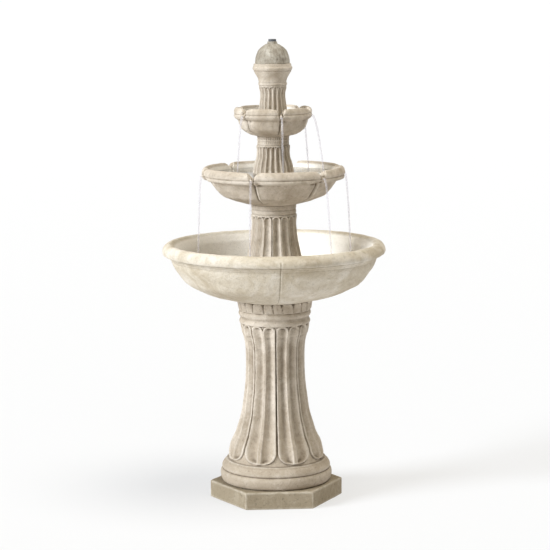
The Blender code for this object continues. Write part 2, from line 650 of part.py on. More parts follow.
def build():
    clear_scene()
    stone = make_material("cast_stone", (0.55, 0.48, 0.37), 0.9)
    pale_stone = make_material("pale_cast_stone", (0.63, 0.57, 0.44), 0.9)
    dark_stone = make_material("weathered_cast_stone", (0.42, 0.37, 0.26), 0.92)
    rubber = make_material("black_rubber", (0.02, 0.02, 0.02), 0.7)
    tube = make_material("clear_vinyl", (0.70, 0.72, 0.70), 0.25)
    plastic = make_material("black_plastic", (0.03, 0.03, 0.035), 0.45)
    grey_plastic = make_material("grey_plastic", (0.12, 0.12, 0.13), 0.5)
    steel = make_material("stainless_steel", (0.62, 0.62, 0.60), 0.3, 1.0)
    copper = make_material("copper", (0.60, 0.36, 0.24), 0.35, 1.0)
    ceramic = make_material("white_ceramic", (0.85, 0.84, 0.80), 0.3)
    ferrite = make_material("ferrite", (0.09, 0.09, 0.10), 0.6)
    foam = make_material("black_foam", (0.04, 0.045, 0.05), 0.95)

    base = make_group("base")
    lower_tier = make_group("lower_tier")
    upper_tier = make_group("upper_tier")
    crown = make_group("crown")
    rotor = make_group("rotor", (0.0, 0.0, AXIS_HEIGHT))
    dial = make_group("dial", (0.0, GRILLE_FRONT, AXIS_HEIGHT))

    make_plinth(dark_stone, base)
    make_pedestal(stone, base)
    make_basin(pale_stone, base)
    make_lower_column(stone, lower_tier)
    make_middle_bowl(stone, lower_tier)
    make_upper_column(stone, upper_tier)
    make_top_bowl(stone, upper_tier)
    make_top_column(stone, crown)
    make_finial_cup(stone, crown)
    make_finial_dome(stone, crown)

    make_water_line(tube, copper, rubber, base, lower_tier, upper_tier)
    make_nozzle(plastic, upper_tier)
    make_stopper(rubber, base)
    make_hose_clamp(steel, steel, base)

    make_pump_housing(plastic, base)
    make_pump_volute(grey_plastic, base)
    make_intake(plastic, foam, base)
    make_flow_dial(grey_plastic, dial)
    make_rotor(grey_plastic, ferrite, rotor)
    make_shaft(ceramic, rubber, base)
    make_cable_gland(rubber, base)
    make_feet(rubber, base)


build()
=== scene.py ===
import math

import bmesh
import bpy
import numpy as np
from mathutils import Matrix, Vector


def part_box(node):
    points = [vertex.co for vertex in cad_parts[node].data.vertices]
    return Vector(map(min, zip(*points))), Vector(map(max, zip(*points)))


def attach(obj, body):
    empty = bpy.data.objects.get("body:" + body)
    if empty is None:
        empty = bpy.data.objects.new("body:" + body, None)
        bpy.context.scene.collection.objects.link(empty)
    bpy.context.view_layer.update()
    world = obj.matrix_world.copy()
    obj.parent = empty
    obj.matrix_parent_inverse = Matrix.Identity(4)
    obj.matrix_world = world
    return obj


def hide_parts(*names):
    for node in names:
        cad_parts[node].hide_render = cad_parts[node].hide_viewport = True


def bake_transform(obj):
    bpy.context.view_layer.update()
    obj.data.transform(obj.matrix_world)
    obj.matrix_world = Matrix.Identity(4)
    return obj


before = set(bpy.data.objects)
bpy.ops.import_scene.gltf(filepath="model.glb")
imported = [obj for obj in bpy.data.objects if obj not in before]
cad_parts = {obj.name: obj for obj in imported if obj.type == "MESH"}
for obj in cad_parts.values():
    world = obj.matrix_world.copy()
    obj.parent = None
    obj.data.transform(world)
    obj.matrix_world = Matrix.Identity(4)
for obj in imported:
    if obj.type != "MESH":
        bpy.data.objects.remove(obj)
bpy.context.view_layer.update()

# Visual model of a three-tier cast-stone garden fountain, in metres, +Z up, with its front at -Y.
# A turn is an angle about Z in degrees from the front, towards +X.
# Each casting is a grid: rows follow its outline and columns go round the axis. A relief function
# carves it, and it carries the attributes hollow, proud and inside, which its stone material reads.
# Outlines are lists of (radius, height) in millimetres.

MM = 0.001


def ends(node):
    """The heights of a CAD node's foot and top, in millimetres."""
    low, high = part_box(node)
    return low[2] / MM, high[2] / MM


# Heights in metres.
BASIN_FLOOR = 0.657
MIDDLE_FLOOR = 0.960
MIDDLE_CREST = 1.054
TOP_FLOOR = 1.170
TOP_CREST = 1.240
BASIN_WATER = 0.737
MIDDLE_WATER = 1.0345
TOP_WATER = 1.2245

HOLLOW_RADIUS = 0.066  # of the plinth and the pedestal

# Each upper bowl has six spouts. These are the turns of their first ones.
LIP_PITCH = 60.0
MIDDLE_LIP_TURN = -17.5
TOP_LIP_TURN = 12.0

CAMERA_PLACE = (0.0018, -6.4606, 1.6708)
CAMERA_PITCH = 8.45
CAMERA_ROLL = 0.53
CAMERA_LENS = 135.75

# Each light's name, turn, elevation, strength, width in degrees and colour.
LIGHTS = (
    ("key", -64.0, 23.0, 3.9, 26.0, (0.875, 0.93, 1.0)),
    ("front", 10.0, 40.0, 0.18, 30.0, (1.0, 0.96, 0.86)),
    ("overhead", 60.0, 70.0, 1.9, 36.0, (1.0, 0.97, 0.90)),
)
SKY_COLOUR = (1.0, 0.955, 0.82)
SKY_STRENGTH = 0.25
FLOOR_RADIUS = 260.0
FLOOR_COLOUR = (0.33, 0.332, 0.34)
FLOOR_GLOW = 0.51
WHITE = (1.0, 1.0, 1.0)

# Each stone's colours: pale, middle and brown mottling, dirt and painted shade for its recesses, and worn
# edges with a painted highlight.
STONES = {
    "cast_stone": (
        (0.64, 0.565, 0.475), (0.53, 0.455, 0.365), (0.395, 0.325, 0.245),
        (0.130, 0.100, 0.068), (0.72, 0.655, 0.565),
    ),
    "grey_cast_stone": (
        (0.54, 0.500, 0.430), (0.385, 0.345, 0.280), (0.225, 0.188, 0.140),
        (0.110, 0.088, 0.060), (0.58, 0.54, 0.47),
    ),
    "pale_cast_stone": (
        (0.71, 0.650, 0.560), (0.61, 0.540, 0.430), (0.485, 0.410, 0.300),
        (0.21, 0.170, 0.115), (0.78, 0.735, 0.655),
    ),
    "weathered_cast_stone": (
        (0.47, 0.410, 0.320), (0.385, 0.325, 0.240), (0.280, 0.228, 0.155),
        (0.105, 0.082, 0.053), (0.58, 0.515, 0.42),
    ),
}
# The insides of the bowls are paler: painted light, for the light that falls into them.
INSIDE_PAINTED_LIGHT = (0.94, 0.89, 0.81)
AIR_AND_HIGHLIGHT_WHITE = (0.97, 0.97, 1.0)


# Camera, light and floor ------------------------------------------------------------------


def add_object(name, data):
    thing = bpy.data.objects.new(name, data)
    bpy.context.scene.collection.objects.link(thing)
    return thing


def mesh_of(bm, name):
    """Turns a bmesh into a mesh of that name."""
    mesh = bpy.data.meshes.new(name)
    bm.to_mesh(mesh)
    bm.free()
    return mesh


def make_camera():
    data = bpy.data.cameras.new("camera")
    data.lens = CAMERA_LENS
    data.sensor_width = 36.0
    data.clip_end = 600.0
    camera = add_object("camera", data)
    pitch = Matrix.Rotation(math.radians(90.0 - CAMERA_PITCH), 4, "X")
    roll = Matrix.Rotation(math.radians(-CAMERA_ROLL), 4, "Z")
    camera.matrix_world = Matrix.Translation(CAMERA_PLACE) @ pitch @ roll
    bpy.context.scene.camera = camera


def make_sun(name, turn, elevation, strength, width, colour):
    data = bpy.data.lights.new(name, "SUN")
    data.energy = strength
    data.angle = math.radians(width)
    data.color = colour
    lamp = add_object(name, data)
    a = math.radians(turn - 90.0)
    e = math.radians(elevation)
    towards = Vector((math.cos(a) * math.cos(e), math.sin(a) * math.cos(e), math.sin(e)))
    lamp.rotation_mode = "QUATERNION"
    lamp.rotation_quaternion = towards.to_track_quat("Z", "Y")


def make_world():
    """Even soft light from all round; the background and its reflections show white."""
    world = bpy.data.worlds.new("studio")
    bpy.context.scene.world = world
    n = Nodes(world)
    n.tree.nodes.clear()
    light = n.add("Background", {"Color": SKY_COLOUR, "Strength": SKY_STRENGTH})
    seen = n.add("Background", {"Color": WHITE, "Strength": 1.0})
    camera_ray = n.add("LightPath", {}, "Is Camera Ray")
    glossy_ray = n.add("LightPath", {}, "Is Glossy Ray")
    either = n.maths("MAXIMUM", camera_ray, glossy_ray)
    n.add("OutputWorld", {"Surface": n.blend_shaders(either, light, seen)})


def make_floor():
    """A white ground to the horizon."""
    bm = bmesh.new()
    bmesh.ops.create_circle(bm, cap_ends=True, segments=96, radius=FLOOR_RADIUS)
    mesh = mesh_of(bm, "floor")
    n = Nodes(bpy.data.materials.new("floor"))
    mesh.materials.append(n.finish(FLOOR_COLOUR, 0.9, Emission_Color=WHITE, Emission_Strength=FLOOR_GLOW))
    add_object("floor", mesh)


# Node materials ---------------------------------------------------------------------------


class Nodes:
    """Builds a node tree a call at a time. An input is a number, a colour or a node's output."""

    def __init__(self, owner):
        self.owner = owner
        owner.use_nodes = True
        self.tree = owner.node_tree

    def put(self, socket, value):
        if isinstance(value, bpy.types.NodeSocket):
            self.tree.links.new(value, socket)
        elif socket.type == "RGBA":
            socket.default_value = (*value, 1.0)
        else:
            socket.default_value = value

    def add(self, kind, inputs, output=0, **settings):
        """Adds a node with these settings and inputs, and returns one of its outputs."""
        node = self.tree.nodes.new("ShaderNode" + kind)
        for name, value in settings.items():
            setattr(node, name, value)
        for name, value in inputs.items():
            if value is not None:
                self.put(node.inputs[name], value)
        return node.outputs[output] if node.outputs else None

    def places(self, scale=(1.0, 1.0, 1.0)):
        places = self.add("TexCoord", {}, "Object")
        if scale == (1.0, 1.0, 1.0):
            return places
        return self.add("Mapping", {"Vector": places, "Scale": scale})

    def noise(self, scale, detail=4.0, roughness=0.55, stretch=(1.0, 1.0, 1.0), distortion=0.0):
        inputs = {"Scale": scale, "Detail": detail, "Roughness": roughness, "Distortion": distortion}
        inputs["Vector"] = self.places(stretch)
        return self.add("TexNoise", inputs, "Fac")

    def cells(self, scale):
        return self.add("TexVoronoi", {"Scale": scale, "Vector": self.places()}, "Distance")

    def ramp(self, factor, *stops):
        """Colour stops as (position, colour)."""
        node = self.tree.nodes.new("ShaderNodeValToRGB")
        elements = node.color_ramp.elements
        while len(elements) < len(stops):
            elements.new(0.5)
        for element, (position, colour) in zip(elements, stops):
            element.position = position
            element.color = (*colour, 1.0)
        self.put(node.inputs["Fac"], factor)
        return node.outputs["Color"]

    def span(self, value, low, high, to_low=0.0, to_high=1.0):
        inputs = {"Value": value, "From Min": low, "From Max": high, "To Min": to_low, "To Max": to_high}
        return self.add("MapRange", inputs)

    def maths(self, operation, first, second):
        return self.add("Math", {0: first, 1: second}, operation=operation)

    def mix(self, factor, first, second, blend="MIX"):
        inputs = {"Factor": factor, 6: first, 7: second}
        return self.add("Mix", inputs, 2, data_type="RGBA", blend_type=blend)

    def blend_shaders(self, factor, first, second):
        return self.add("MixShader", {"Fac": factor, 1: first, 2: second})

    def attribute(self, name):
        return self.add("Attribute", {}, "Fac", attribute_name=name)

    def height(self):
        return self.add("SeparateXYZ", {"Vector": self.places()}, "Z")

    def bump(self, height, distance, before=None):
        inputs = {"Strength": 1.0, "Distance": distance, "Height": height, "Normal": before}
        return self.add("Bump", inputs)

    def finish(self, colour, roughness, normal=None, **others):
        """Sets up the Principled shader; others are its other sockets, with _ for spaces."""
        shader = self.tree.nodes["Principled BSDF"]
        self.put(shader.inputs["Base Color"], colour)
        self.put(shader.inputs["Roughness"], roughness)
        if normal is not None:
            self.put(shader.inputs["Normal"], normal)
        for name, value in others.items():
            self.put(shader.inputs[name.replace("_", " ")], value)
        return self.owner


def stone(name, streaks=0.35, spots=0.30):
    """Matte cast stone: mottled, streaked by weather, dark with dirt and painted shade in its hollows,
    pale with wear and a painted highlight on its edges, and paler inside with painted light.
    """
    pale, middle, brown, dirt_and_shade, worn_highlight = STONES[name]
    n = Nodes(bpy.data.materials.new(name))
    broad = n.noise(6.5, 6.0, 0.66, distortion=0.8)
    colour = n.ramp(broad, (0.36, brown), (0.50, middle), (0.62, pale))
    patch = n.noise(26.0, 5.0, 0.68, distortion=1.0)
    colour = n.mix(n.span(patch, 0.50, 0.68, 0.0, 0.55), colour, brown)
    colour = n.mix(n.span(patch, 0.47, 0.32, 0.0, 0.45), colour, pale)
    run = n.noise(9.0, 5.0, 0.6, stretch=(4.5, 4.5, 0.55))
    colour = n.mix(n.span(run, 0.52, 0.70, 0.0, streaks), colour, brown)
    splash = n.maths("MULTIPLY", n.span(n.height(), 0.42, 0.06), n.span(patch, 0.3, 0.6, 0.55, 0.95))
    colour = n.mix(splash, colour, brown)
    # The insides are paler: painted light.
    inside = n.attribute("inside")
    colour = n.mix(inside, colour, INSIDE_PAINTED_LIGHT)
    spot = n.noise(85.0, 3.0, 0.72, distortion=0.4)
    spotted = n.maths("MULTIPLY", n.span(spot, 0.58, 0.68), n.span(inside, 0.0, 1.0, spots, 0.08))
    colour = n.mix(spotted, colour, dirt_and_shade)
    grain = n.noise(330.0, 3.0, 0.7)
    tint = n.ramp(grain, (0.30, (0.80, 0.79, 0.77)), (0.52, WHITE), (0.72, (1.10, 1.09, 1.07)))
    colour = n.mix(0.65, colour, tint, "MULTIPLY")
    pits = n.span(n.cells(150.0), 0.10, 0.26)
    colour = n.mix(n.span(pits, 0.0, 1.0, 0.26, 0.0), colour, dirt_and_shade)
    # Hollows darken: dirt, and painted shade where shade falls in them.
    hollow = n.maths("MULTIPLY", n.attribute("hollow"), n.span(patch, 0.25, 0.65, 0.60, 1.15))
    colour = n.mix(n.maths("MINIMUM", hollow, 0.86), colour, dirt_and_shade)
    # Proud edges lighten: wear, and a painted highlight.
    proud = n.maths("MULTIPLY", n.attribute("proud"), n.span(patch, 0.30, 0.60, 0.75, 0.25))
    colour = n.mix(n.maths("MINIMUM", proud, 0.60), colour, worn_highlight)
    rough = n.span(patch, 0.3, 0.7, 0.80, 0.94)
    normal = None
    for height, depth in ((broad, 3.0), (patch, 2.0), (spot, 0.7), (pits, 0.4), (grain, 0.5)):
        normal = n.bump(height, depth * MM, normal)
    return n.finish(colour, rough, normal, Specular_IOR_Level=0.25)


def water(name, tint, white_share):
    """Water: see-through with a gloss; its white share is how much of it is white, for air in it and a
    painted highlight.

    The mesh attribute surface says where it has a gloss: not where it lies on stone."""
    n = Nodes(bpy.data.materials.new(name))
    n.tree.nodes.remove(n.tree.nodes["Principled BSDF"])
    ripple = n.noise(60.0, 2.0)
    normal = n.bump(ripple, 0.4 * MM)
    clear = n.add("BsdfTransparent", {"Color": tint})
    # The white is air in the water and a painted highlight.
    lit = n.add("BsdfDiffuse", {"Color": AIR_AND_HIGHLIGHT_WHITE})
    through = n.add("BsdfTranslucent", {"Color": AIR_AND_HIGHLIGHT_WHITE})
    white = n.blend_shaders(0.5, lit, through)
    body = n.blend_shaders(n.span(ripple, 0.3, 0.7, white_share * 0.7, white_share * 1.3), clear, white)
    gloss = n.add("BsdfGlossy", {"Roughness": 0.03, "Normal": normal})
    fresnel = n.add("Fresnel", {"IOR": 1.33, "Normal": normal})
    shine = n.maths("MULTIPLY", fresnel, n.attribute("surface"))
    surface = n.tree.nodes["Material Output"].inputs["Surface"]
    n.put(surface, n.blend_shaders(shine, body, gloss))
    return n.owner


def moulded(name, colour, rough, grain=420.0, depth=0.12, spread=0.25):
    """Moulded plastic or rubber: a grain of that depth in mm, with slight wear in colour and gloss."""
    n = Nodes(bpy.data.materials.new(name))
    broad = n.noise(38.0, 4.0)
    fine = n.noise(grain, 2.0)
    darker = tuple(c * (1.0 - spread) for c in colour)
    lighter = tuple(min(1.0, c * (1.0 + spread) + 0.004) for c in colour)
    tone = n.ramp(broad, (0.35, darker), (0.65, lighter))
    roughness = n.span(broad, 0.3, 0.7, rough - 0.06, rough + 0.08)
    return n.finish(tone, roughness, n.bump(fine, depth * MM))


def metal(name, colour, stain, rough):
    """Bare metal with fine drawn lines and a patchy stain."""
    n = Nodes(bpy.data.materials.new(name))
    lines = n.noise(260.0, 3.0, 0.6, stretch=(1.0, 1.0, 12.0))
    patch = n.noise(70.0, 4.0, 0.6)
    tone = n.mix(n.span(patch, 0.50, 0.70, 0.0, 0.8), colour, stain)
    roughness = n.span(lines, 0.3, 0.7, rough - 0.08, rough + 0.12)
    return n.finish(tone, roughness, n.bump(lines, 0.06 * MM), Metallic=1.0)


def vinyl():
    n = Nodes(bpy.data.materials.new("clear_vinyl"))
    cloud = n.noise(45.0, 3.0)
    tone = n.ramp(cloud, (0.3, (0.72, 0.75, 0.72)), (0.7, (0.84, 0.86, 0.83)))
    roughness = n.span(cloud, 0.3, 0.7, 0.16, 0.30)
    return n.finish(tone, roughness, n.bump(cloud, 0.2 * MM), Transmission_Weight=0.55, IOR=1.45)


def foam():
    n = Nodes(bpy.data.materials.new("black_foam"))
    holes = n.span(n.cells(620.0), 0.15, 0.5)
    tone = n.ramp(holes, (0.1, (0.006, 0.006, 0.007)), (0.8, (0.055, 0.058, 0.062)))
    return n.finish(tone, n.span(holes, 0.0, 1.0, 0.98, 0.85), n.bump(holes, 0.8 * MM))


# Grid meshes ------------------------------------------------------------------------------


def smooth(low, high, value):
    """0 below low and 1 above high, with a smooth step between; low may be above high."""
    t = np.clip((value - low) / (high - low), 0.0, 1.0)
    return t * t * (3.0 - 2.0 * t)


def hump(value, width):
    return np.exp(-((value / width) ** 2))


def lumps(places, size, seed):
    """Smooth unevenness, from about -1 to 1, with bumps of about that size."""
    draw = np.random.default_rng(seed)
    total = np.zeros(places.shape[:-1])
    for _ in range(14):
        way = draw.normal(size=3)
        way *= 2.0 * math.pi / (size * draw.uniform(0.7, 1.6) * np.linalg.norm(way))
        total += np.sin(places @ way + draw.uniform(0.0, 2.0 * math.pi))
    return total / 5.0


def curve(points, spacing):
    """Points at most spacing apart on a smooth curve through the given ones, in millimetres."""
    p = np.array([points[0], *points, points[-1]], float)
    result = []
    for i in range(1, len(p) - 2):
        steps = max(1, math.ceil(np.linalg.norm(p[i + 1] - p[i]) / spacing))
        for t in np.arange(steps) / steps:
            a, b, c, d = p[i - 1 : i + 3]
            bend = 2 * a - 5 * b + 4 * c - d + t * (3 * b - a - 3 * c + d)
            result.append(b + 0.5 * t * (c - a + t * bend))
    result.append(p[-1])
    return np.array(result)


def outline(*runs):
    """Joins runs into one closed loop of radius, height and skin in metres.

    A run is its skin, which is 1 where the stone shows and is uneven, its points in millimetres, and
    the spacing of the curve through them, if they make one."""
    rows = []
    for skin, points, *spacing in runs:
        for radius, height in curve(points, *spacing) if spacing else points:
            row = (radius * MM, height * MM, skin)
            if rows and math.hypot(row[0] - rows[-1][0], row[1] - rows[-1][1]) < 0.02 * MM:
                rows[-1] = (row[0], row[1], min(skin, rows[-1][2]))
            else:
                rows.append(row)
    return np.array(rows)


def even_turns(count):
    return np.arange(count) * 360.0 / count


def packed_turns(pitch, first, centres, width, fine, coarse):
    """Turns all the way round: in each pitch finely spaced near the centres and coarser between."""
    offsets = [0.0]
    while offsets[-1] < pitch:
        here = offsets[-1]
        away = min(abs((here - centre + pitch / 2) % pitch - pitch / 2) for centre in centres)
        share = min(1.0, max(0.0, (away - width) / (2.0 * width)))
        offsets.append(here + fine + (coarse - fine) * share)
    offsets = np.array(offsets)
    offsets = offsets[:-1] * pitch / offsets[-1]
    starts = first + np.arange(round(360.0 / pitch)) * pitch
    return (starts[:, None] + offsets[None, :]).ravel()


def turned_places(rows, turns, outwards=0.0, upwards=0.0, sideways=0.0):
    """Places of a grid; sideways shifts points round the axis by a distance."""
    radius = rows[:, 0:1] + outwards
    height = rows[:, 1:2] + upwards + np.zeros_like(turns)[None, :]
    angle = np.radians(turns - 90.0)[None, :] + sideways / np.maximum(rows[:, 0:1], 0.01)
    return np.stack([radius * np.cos(angle), radius * np.sin(angle), height], axis=-1)


def grid_normals(places):
    down = np.roll(places, -1, 0) - np.roll(places, 1, 0)
    along = np.roll(places, -1, 1) - np.roll(places, 1, 1)
    normal = np.cross(along, down)
    return normal / np.maximum(np.linalg.norm(normal, axis=-1, keepdims=True), 1e-12)


def sunk(places, normals, size):
    """How far each point lies below its surroundings within about that size, in metres."""
    total = np.zeros_like(places)
    weight = np.zeros(places.shape[:-1])
    for i in range(-4, 5, 2):
        for j in range(-6, 7, 2):
            shifted = np.roll(places, (i, j), (0, 1))
            away = ((shifted - places) ** 2).sum(-1)
            w = np.exp(-away / (2.0 * size * size))
            total += shifted * w[..., None]
            weight += w
    return ((total / weight[..., None] - places) * normals).sum(-1)


def grid_mesh(name, places, **attributes):
    """A mesh from a grid that closes both ways. Rings on the axis become single points."""
    rows, columns = places.shape[:2]
    index = np.arange(rows * columns).reshape(rows, columns)
    right = np.roll(index, -1, 1)
    quads = np.stack([index, right, np.roll(right, -1, 0), np.roll(index, -1, 0)], -1)
    mesh = bpy.data.meshes.new(name)
    mesh.from_pydata(places.reshape(-1, 3), [], quads.reshape(-1, 4))
    for key, values in attributes.items():
        layer = mesh.attributes.new(key, "FLOAT", "POINT")
        layer.data.foreach_set("value", values.ravel().astype(np.float32))
    if np.abs(places[..., :2]).max(axis=(1, 2)).min() < 1e-6:
        bm = bmesh.new()
        bm.from_mesh(mesh)
        bmesh.ops.remove_doubles(bm, verts=bm.verts, dist=1e-7)
        bmesh.ops.dissolve_degenerate(bm, edges=bm.edges, dist=1e-8)
        bm.to_mesh(mesh)
        bm.free()
    mesh.shade_smooth()
    return mesh


def add_piece(name, mesh, material, body=None, node=None):
    mesh.materials.clear()
    mesh.materials.append(material)
    piece = add_object(name, mesh)
    if body:
        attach(piece, body)
    if node:
        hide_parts(node)
    return piece


def casting_mesh(name, rows, turns, relief, seed, rough, size, depth=1.1, stain=None):
    """A casting's mesh: carved by its relief, a little uneven, with its hollows and edges found.

    In millimetres, rough is how uneven it is, and size and depth how wide and deep the hollows are
    that show. stain(height, turn) darkens it in places: where water has left dirt, and in darker patches."""
    skin = rows[:, 2:3]
    carved = relief(rows[:, 0:1], rows[:, 1:2], turns[None, :], skin) if relief else (0.0, 0.0)
    outwards = carved[0] + np.zeros((len(rows), len(turns)))
    places = turned_places(rows, turns, outwards, carved[1])
    normals = grid_normals(places)
    uneven = rough * MM * (lumps(places, 0.055, seed) + 0.45 * lumps(places, 0.016, seed + 1))
    places = places + normals * (uneven * skin)[..., None]
    normals = grid_normals(places)
    # Hollow and proud feed the stone: dirt and painted shade in hollows, wear and a painted highlight on
    # proud edges.
    low = sunk(places, normals, size * MM) / (depth * MM)
    hollow = np.clip(low - 0.15, 0.0, 1.0) ** 1.3
    proud = np.clip(-low - 0.20, 0.0, 1.0)
    if stain:
        hollow = np.minimum(hollow + stain(places[..., 2], turns[None, :]), 1.0)
    # Inside marks a bowl's inside below its crest, which the stone makes paler with painted light.
    crest = np.argmax(rows[:, 1])
    after = np.arange(len(rows))[:, None] > crest
    inside = after * smooth(rows[crest, 1] - 3.0 * MM, rows[crest, 1] - 12.0 * MM, rows[:, 1:2])
    inside = 0.97 * inside + np.zeros(places.shape[:-1])
    return grid_mesh(name, places, hollow=hollow, proud=proud, inside=inside)


def cut_away(mesh, tools):
    """Cuts closed meshes out of a mesh."""
    thing = add_object(mesh.name, mesh)
    cutters = [add_object("cutter", tool) for tool in tools]
    for cutter in cutters:
        modifier = thing.modifiers.new("cut", "BOOLEAN")
        modifier.operation = "DIFFERENCE"
        modifier.solver = "EXACT"
        modifier.object = cutter
    cut = thing.evaluated_get(bpy.context.evaluated_depsgraph_get())
    result = bpy.data.meshes.new_from_object(cut)
    for spare in [thing, *cutters]:
        bpy.data.objects.remove(spare)
    result.name = mesh.name
    return result


def add_casting(node, body, material, rows, turns, *how, stain=None, cuts=(), slot="cast_stone"):
    """Adds a casting in place of its CAD node, with closed meshes cut out of it.

    how goes on to casting_mesh: its relief, seed, roughness and the sizes of its hollows."""
    mesh = casting_mesh(node, rows, turns, *how, stain=stain)
    if cuts:
        mesh = cut_away(mesh, cuts)
    add_piece(node + "_casting", mesh, material, body, node)


def bar_mesh(radius, start, end):
    """A closed round bar, for cutting holes."""
    start = Vector(start)
    along = Vector(end) - start
    turn = along.normalized().to_track_quat("Z", "Y").to_matrix().to_4x4()
    place = Matrix.Translation(start + along / 2) @ turn
    bm = bmesh.new()
    bmesh.ops.create_cone(
        bm, cap_ends=True, segments=40, radius1=radius, radius2=radius, depth=along.length, matrix=place
    )
    return mesh_of(bm, "bar")


def block_mesh(low, high):
    """A closed block, for cutting slots."""
    low = Vector(low)
    high = Vector(high)
    bm = bmesh.new()
    bmesh.ops.create_cube(bm, size=1.0)
    bmesh.ops.scale(bm, vec=high - low, verts=bm.verts)
    bmesh.ops.translate(bm, vec=(low + high) / 2, verts=bm.verts)
    return mesh_of(bm, "block")


def within(turn, pitch, centre):
    """Degrees from the nearest of the evenly spaced centres."""
    return (turn - centre + pitch / 2.0) % pitch - pitch / 2.0


def around(turn, pitch, centre, radius):
    """Distance at that radius from the nearest of the evenly spaced centres, in metres."""
    return np.radians(within(turn, pitch, centre)) * radius


def arched(across, up, half_width, rise):
    """Signed distance inside a round-headed opening whose sides spring at up = 0."""
    over = np.maximum(up, 0.0)
    g = np.sqrt((across / half_width) ** 2 + (over / rise) ** 2) + 1e-9
    slope = np.sqrt((across / half_width**2) ** 2 + (over / rise**2) ** 2) / g + 1e-9
    return (1.0 - g) / slope


# Castings ---------------------------------------------------------------------------------


PLINTH_SIDES = 60.0
PLINTH_TURN = 33.0
PLINTH_CORNER = 0.2102
PLINTH_ROUNDING = 0.0032


def plinth_rows():
    low, top = ends("plinth")
    corner = PLINTH_CORNER / MM
    hollow = HOLLOW_RADIUS / MM
    underside = curve([(hollow, low), (corner - 2.0, low)], 9.0)
    side = [(corner - 0.6, 0.6)] + list(curve([(corner, 2.5), (corner, top - 4.0)], 3.2))
    side += [(corner - 0.4, top - 2.2), (corner - 1.8, top - 0.7)]
    over = curve([(corner - 3.6, top), (hollow, top)], 6.0)
    bore = curve([(hollow, top), (hollow, low)], 18.0)
    return outline((0, underside), (1, side), (1, over[:6]), (0, over[6:]), (0, bore[:-1]))


def plinth_relief(radius, height, turn, skin):
    """Draws the round outline in to a hexagon with slightly rounded corners, skin or not."""
    away = np.abs(within(turn, PLINTH_SIDES, PLINTH_TURN))
    apothem = math.cos(math.radians(PLINTH_SIDES / 2))
    side = apothem / np.cos(np.radians(PLINTH_SIDES / 2 - away))
    rounding = PLINTH_ROUNDING * hump(away, 1.3)
    share = np.clip((radius - HOLLOW_RADIUS) / (PLINTH_CORNER - HOLLOW_RADIUS), 0.0, 1.0)
    return radius * (side - 1.0) * share - rounding * radius * share * 0.9, 0.0


def make_plinth(material):
    turns = packed_turns(PLINTH_SIDES, PLINTH_TURN, [0.0], 2.0, 0.35, 1.0)
    cord_slot = block_mesh((-0.012, 0.0, -0.01), (0.012, 0.3, 0.014))
    add_casting(
        "plinth", "base", material, plinth_rows(), turns, plinth_relief, 3, 0.45, 5.0,
        cuts=[cord_slot], slot="weathered_cast_stone",
    )


# The pedestal's leaves: turns and widths in degrees, heights in metres.
LEAF_TURN = 24.0
LEAF_PITCH = 45.0
LEAF_HALF = 21.3
LEAF_TIP = 0.1335
LEAF_ROUNDING = 0.044
LEAF_RIM = 19.9
ARCH_SPRING = 0.5430
ARCH_RISE = 0.0205
RING_FOOT = 0.5622
COLLAR_PITCH = 360.0 / 22
COLLAR_TURN = COLLAR_PITCH / 2 - 3.1


def pedestal_rows():
    foot, top = ends("pedestal")
    torus = [
        (163, foot), (169.5, 57.5), (173.6, 63), (176.2, 71), (177, 79), (176.6, 85), (174.8, 90),
        (171.8, 93.4),
    ]
    band = [
        (168.6, 95.2), (170.8, 98.0), (172, 101.5), (171.6, 105.6), (169.8, 110.0), (167.2, 114.2),
        (164.4, 117.8), (161.8, 120.0),
    ]
    cone = [(160.2, 121.2), (158.6, 124.0), (156.4, 129), (154.4, 134), (153, 138)]
    low = [
        (153, 138), (152, 141), (151, 147), (148, 160), (145, 173), (139.7, 186), (133, 199),
        (127, 212),
    ]
    shaft = [
        (127, 212), (123, 225), (115, 251), (108, 277), (104, 303), (100.5, 329), (97, 355),
        (94.6, 384), (93.2, 415), (93, 450), (93.8, 480), (96.5, 505), (101, 524),
    ]
    head = [(101, 524), (104, 531), (106.4, 542), (108.4, 553), (109.6, 561.6)]
    ring = [
        (109.6, 561.6), (111.4, 563.4), (112.2, 567), (111.8, 571), (110.2, 574.6), (108.6, 577.6),
        (108.5, 582), (110.2, 584.6), (112.8, 588), (114.2, 592.5), (113.6, 597.5), (112.0, 600.8),
        (111.4, 602.8),
    ]
    collar = [
        (111.4, 602.8), (113.4, 604.6), (114.8, 608), (115.8, 614), (116.8, 621), (117.8, 628),
        (118.2, top - 2.0), (118.0, top),
    ]
    bore = curve([(HOLLOW_RADIUS / MM, top), (HOLLOW_RADIUS / MM, foot)], 60.0)
    return outline(
        (1, torus, 2.2), (1, band, 2.0), (1, cone, 2.0), (1, low, 1.9), (1, shaft, 5.0),
        (1, head, 1.5), (1, ring, 1.6), (1, collar, 1.4), (0, bore[:-1]),
    )


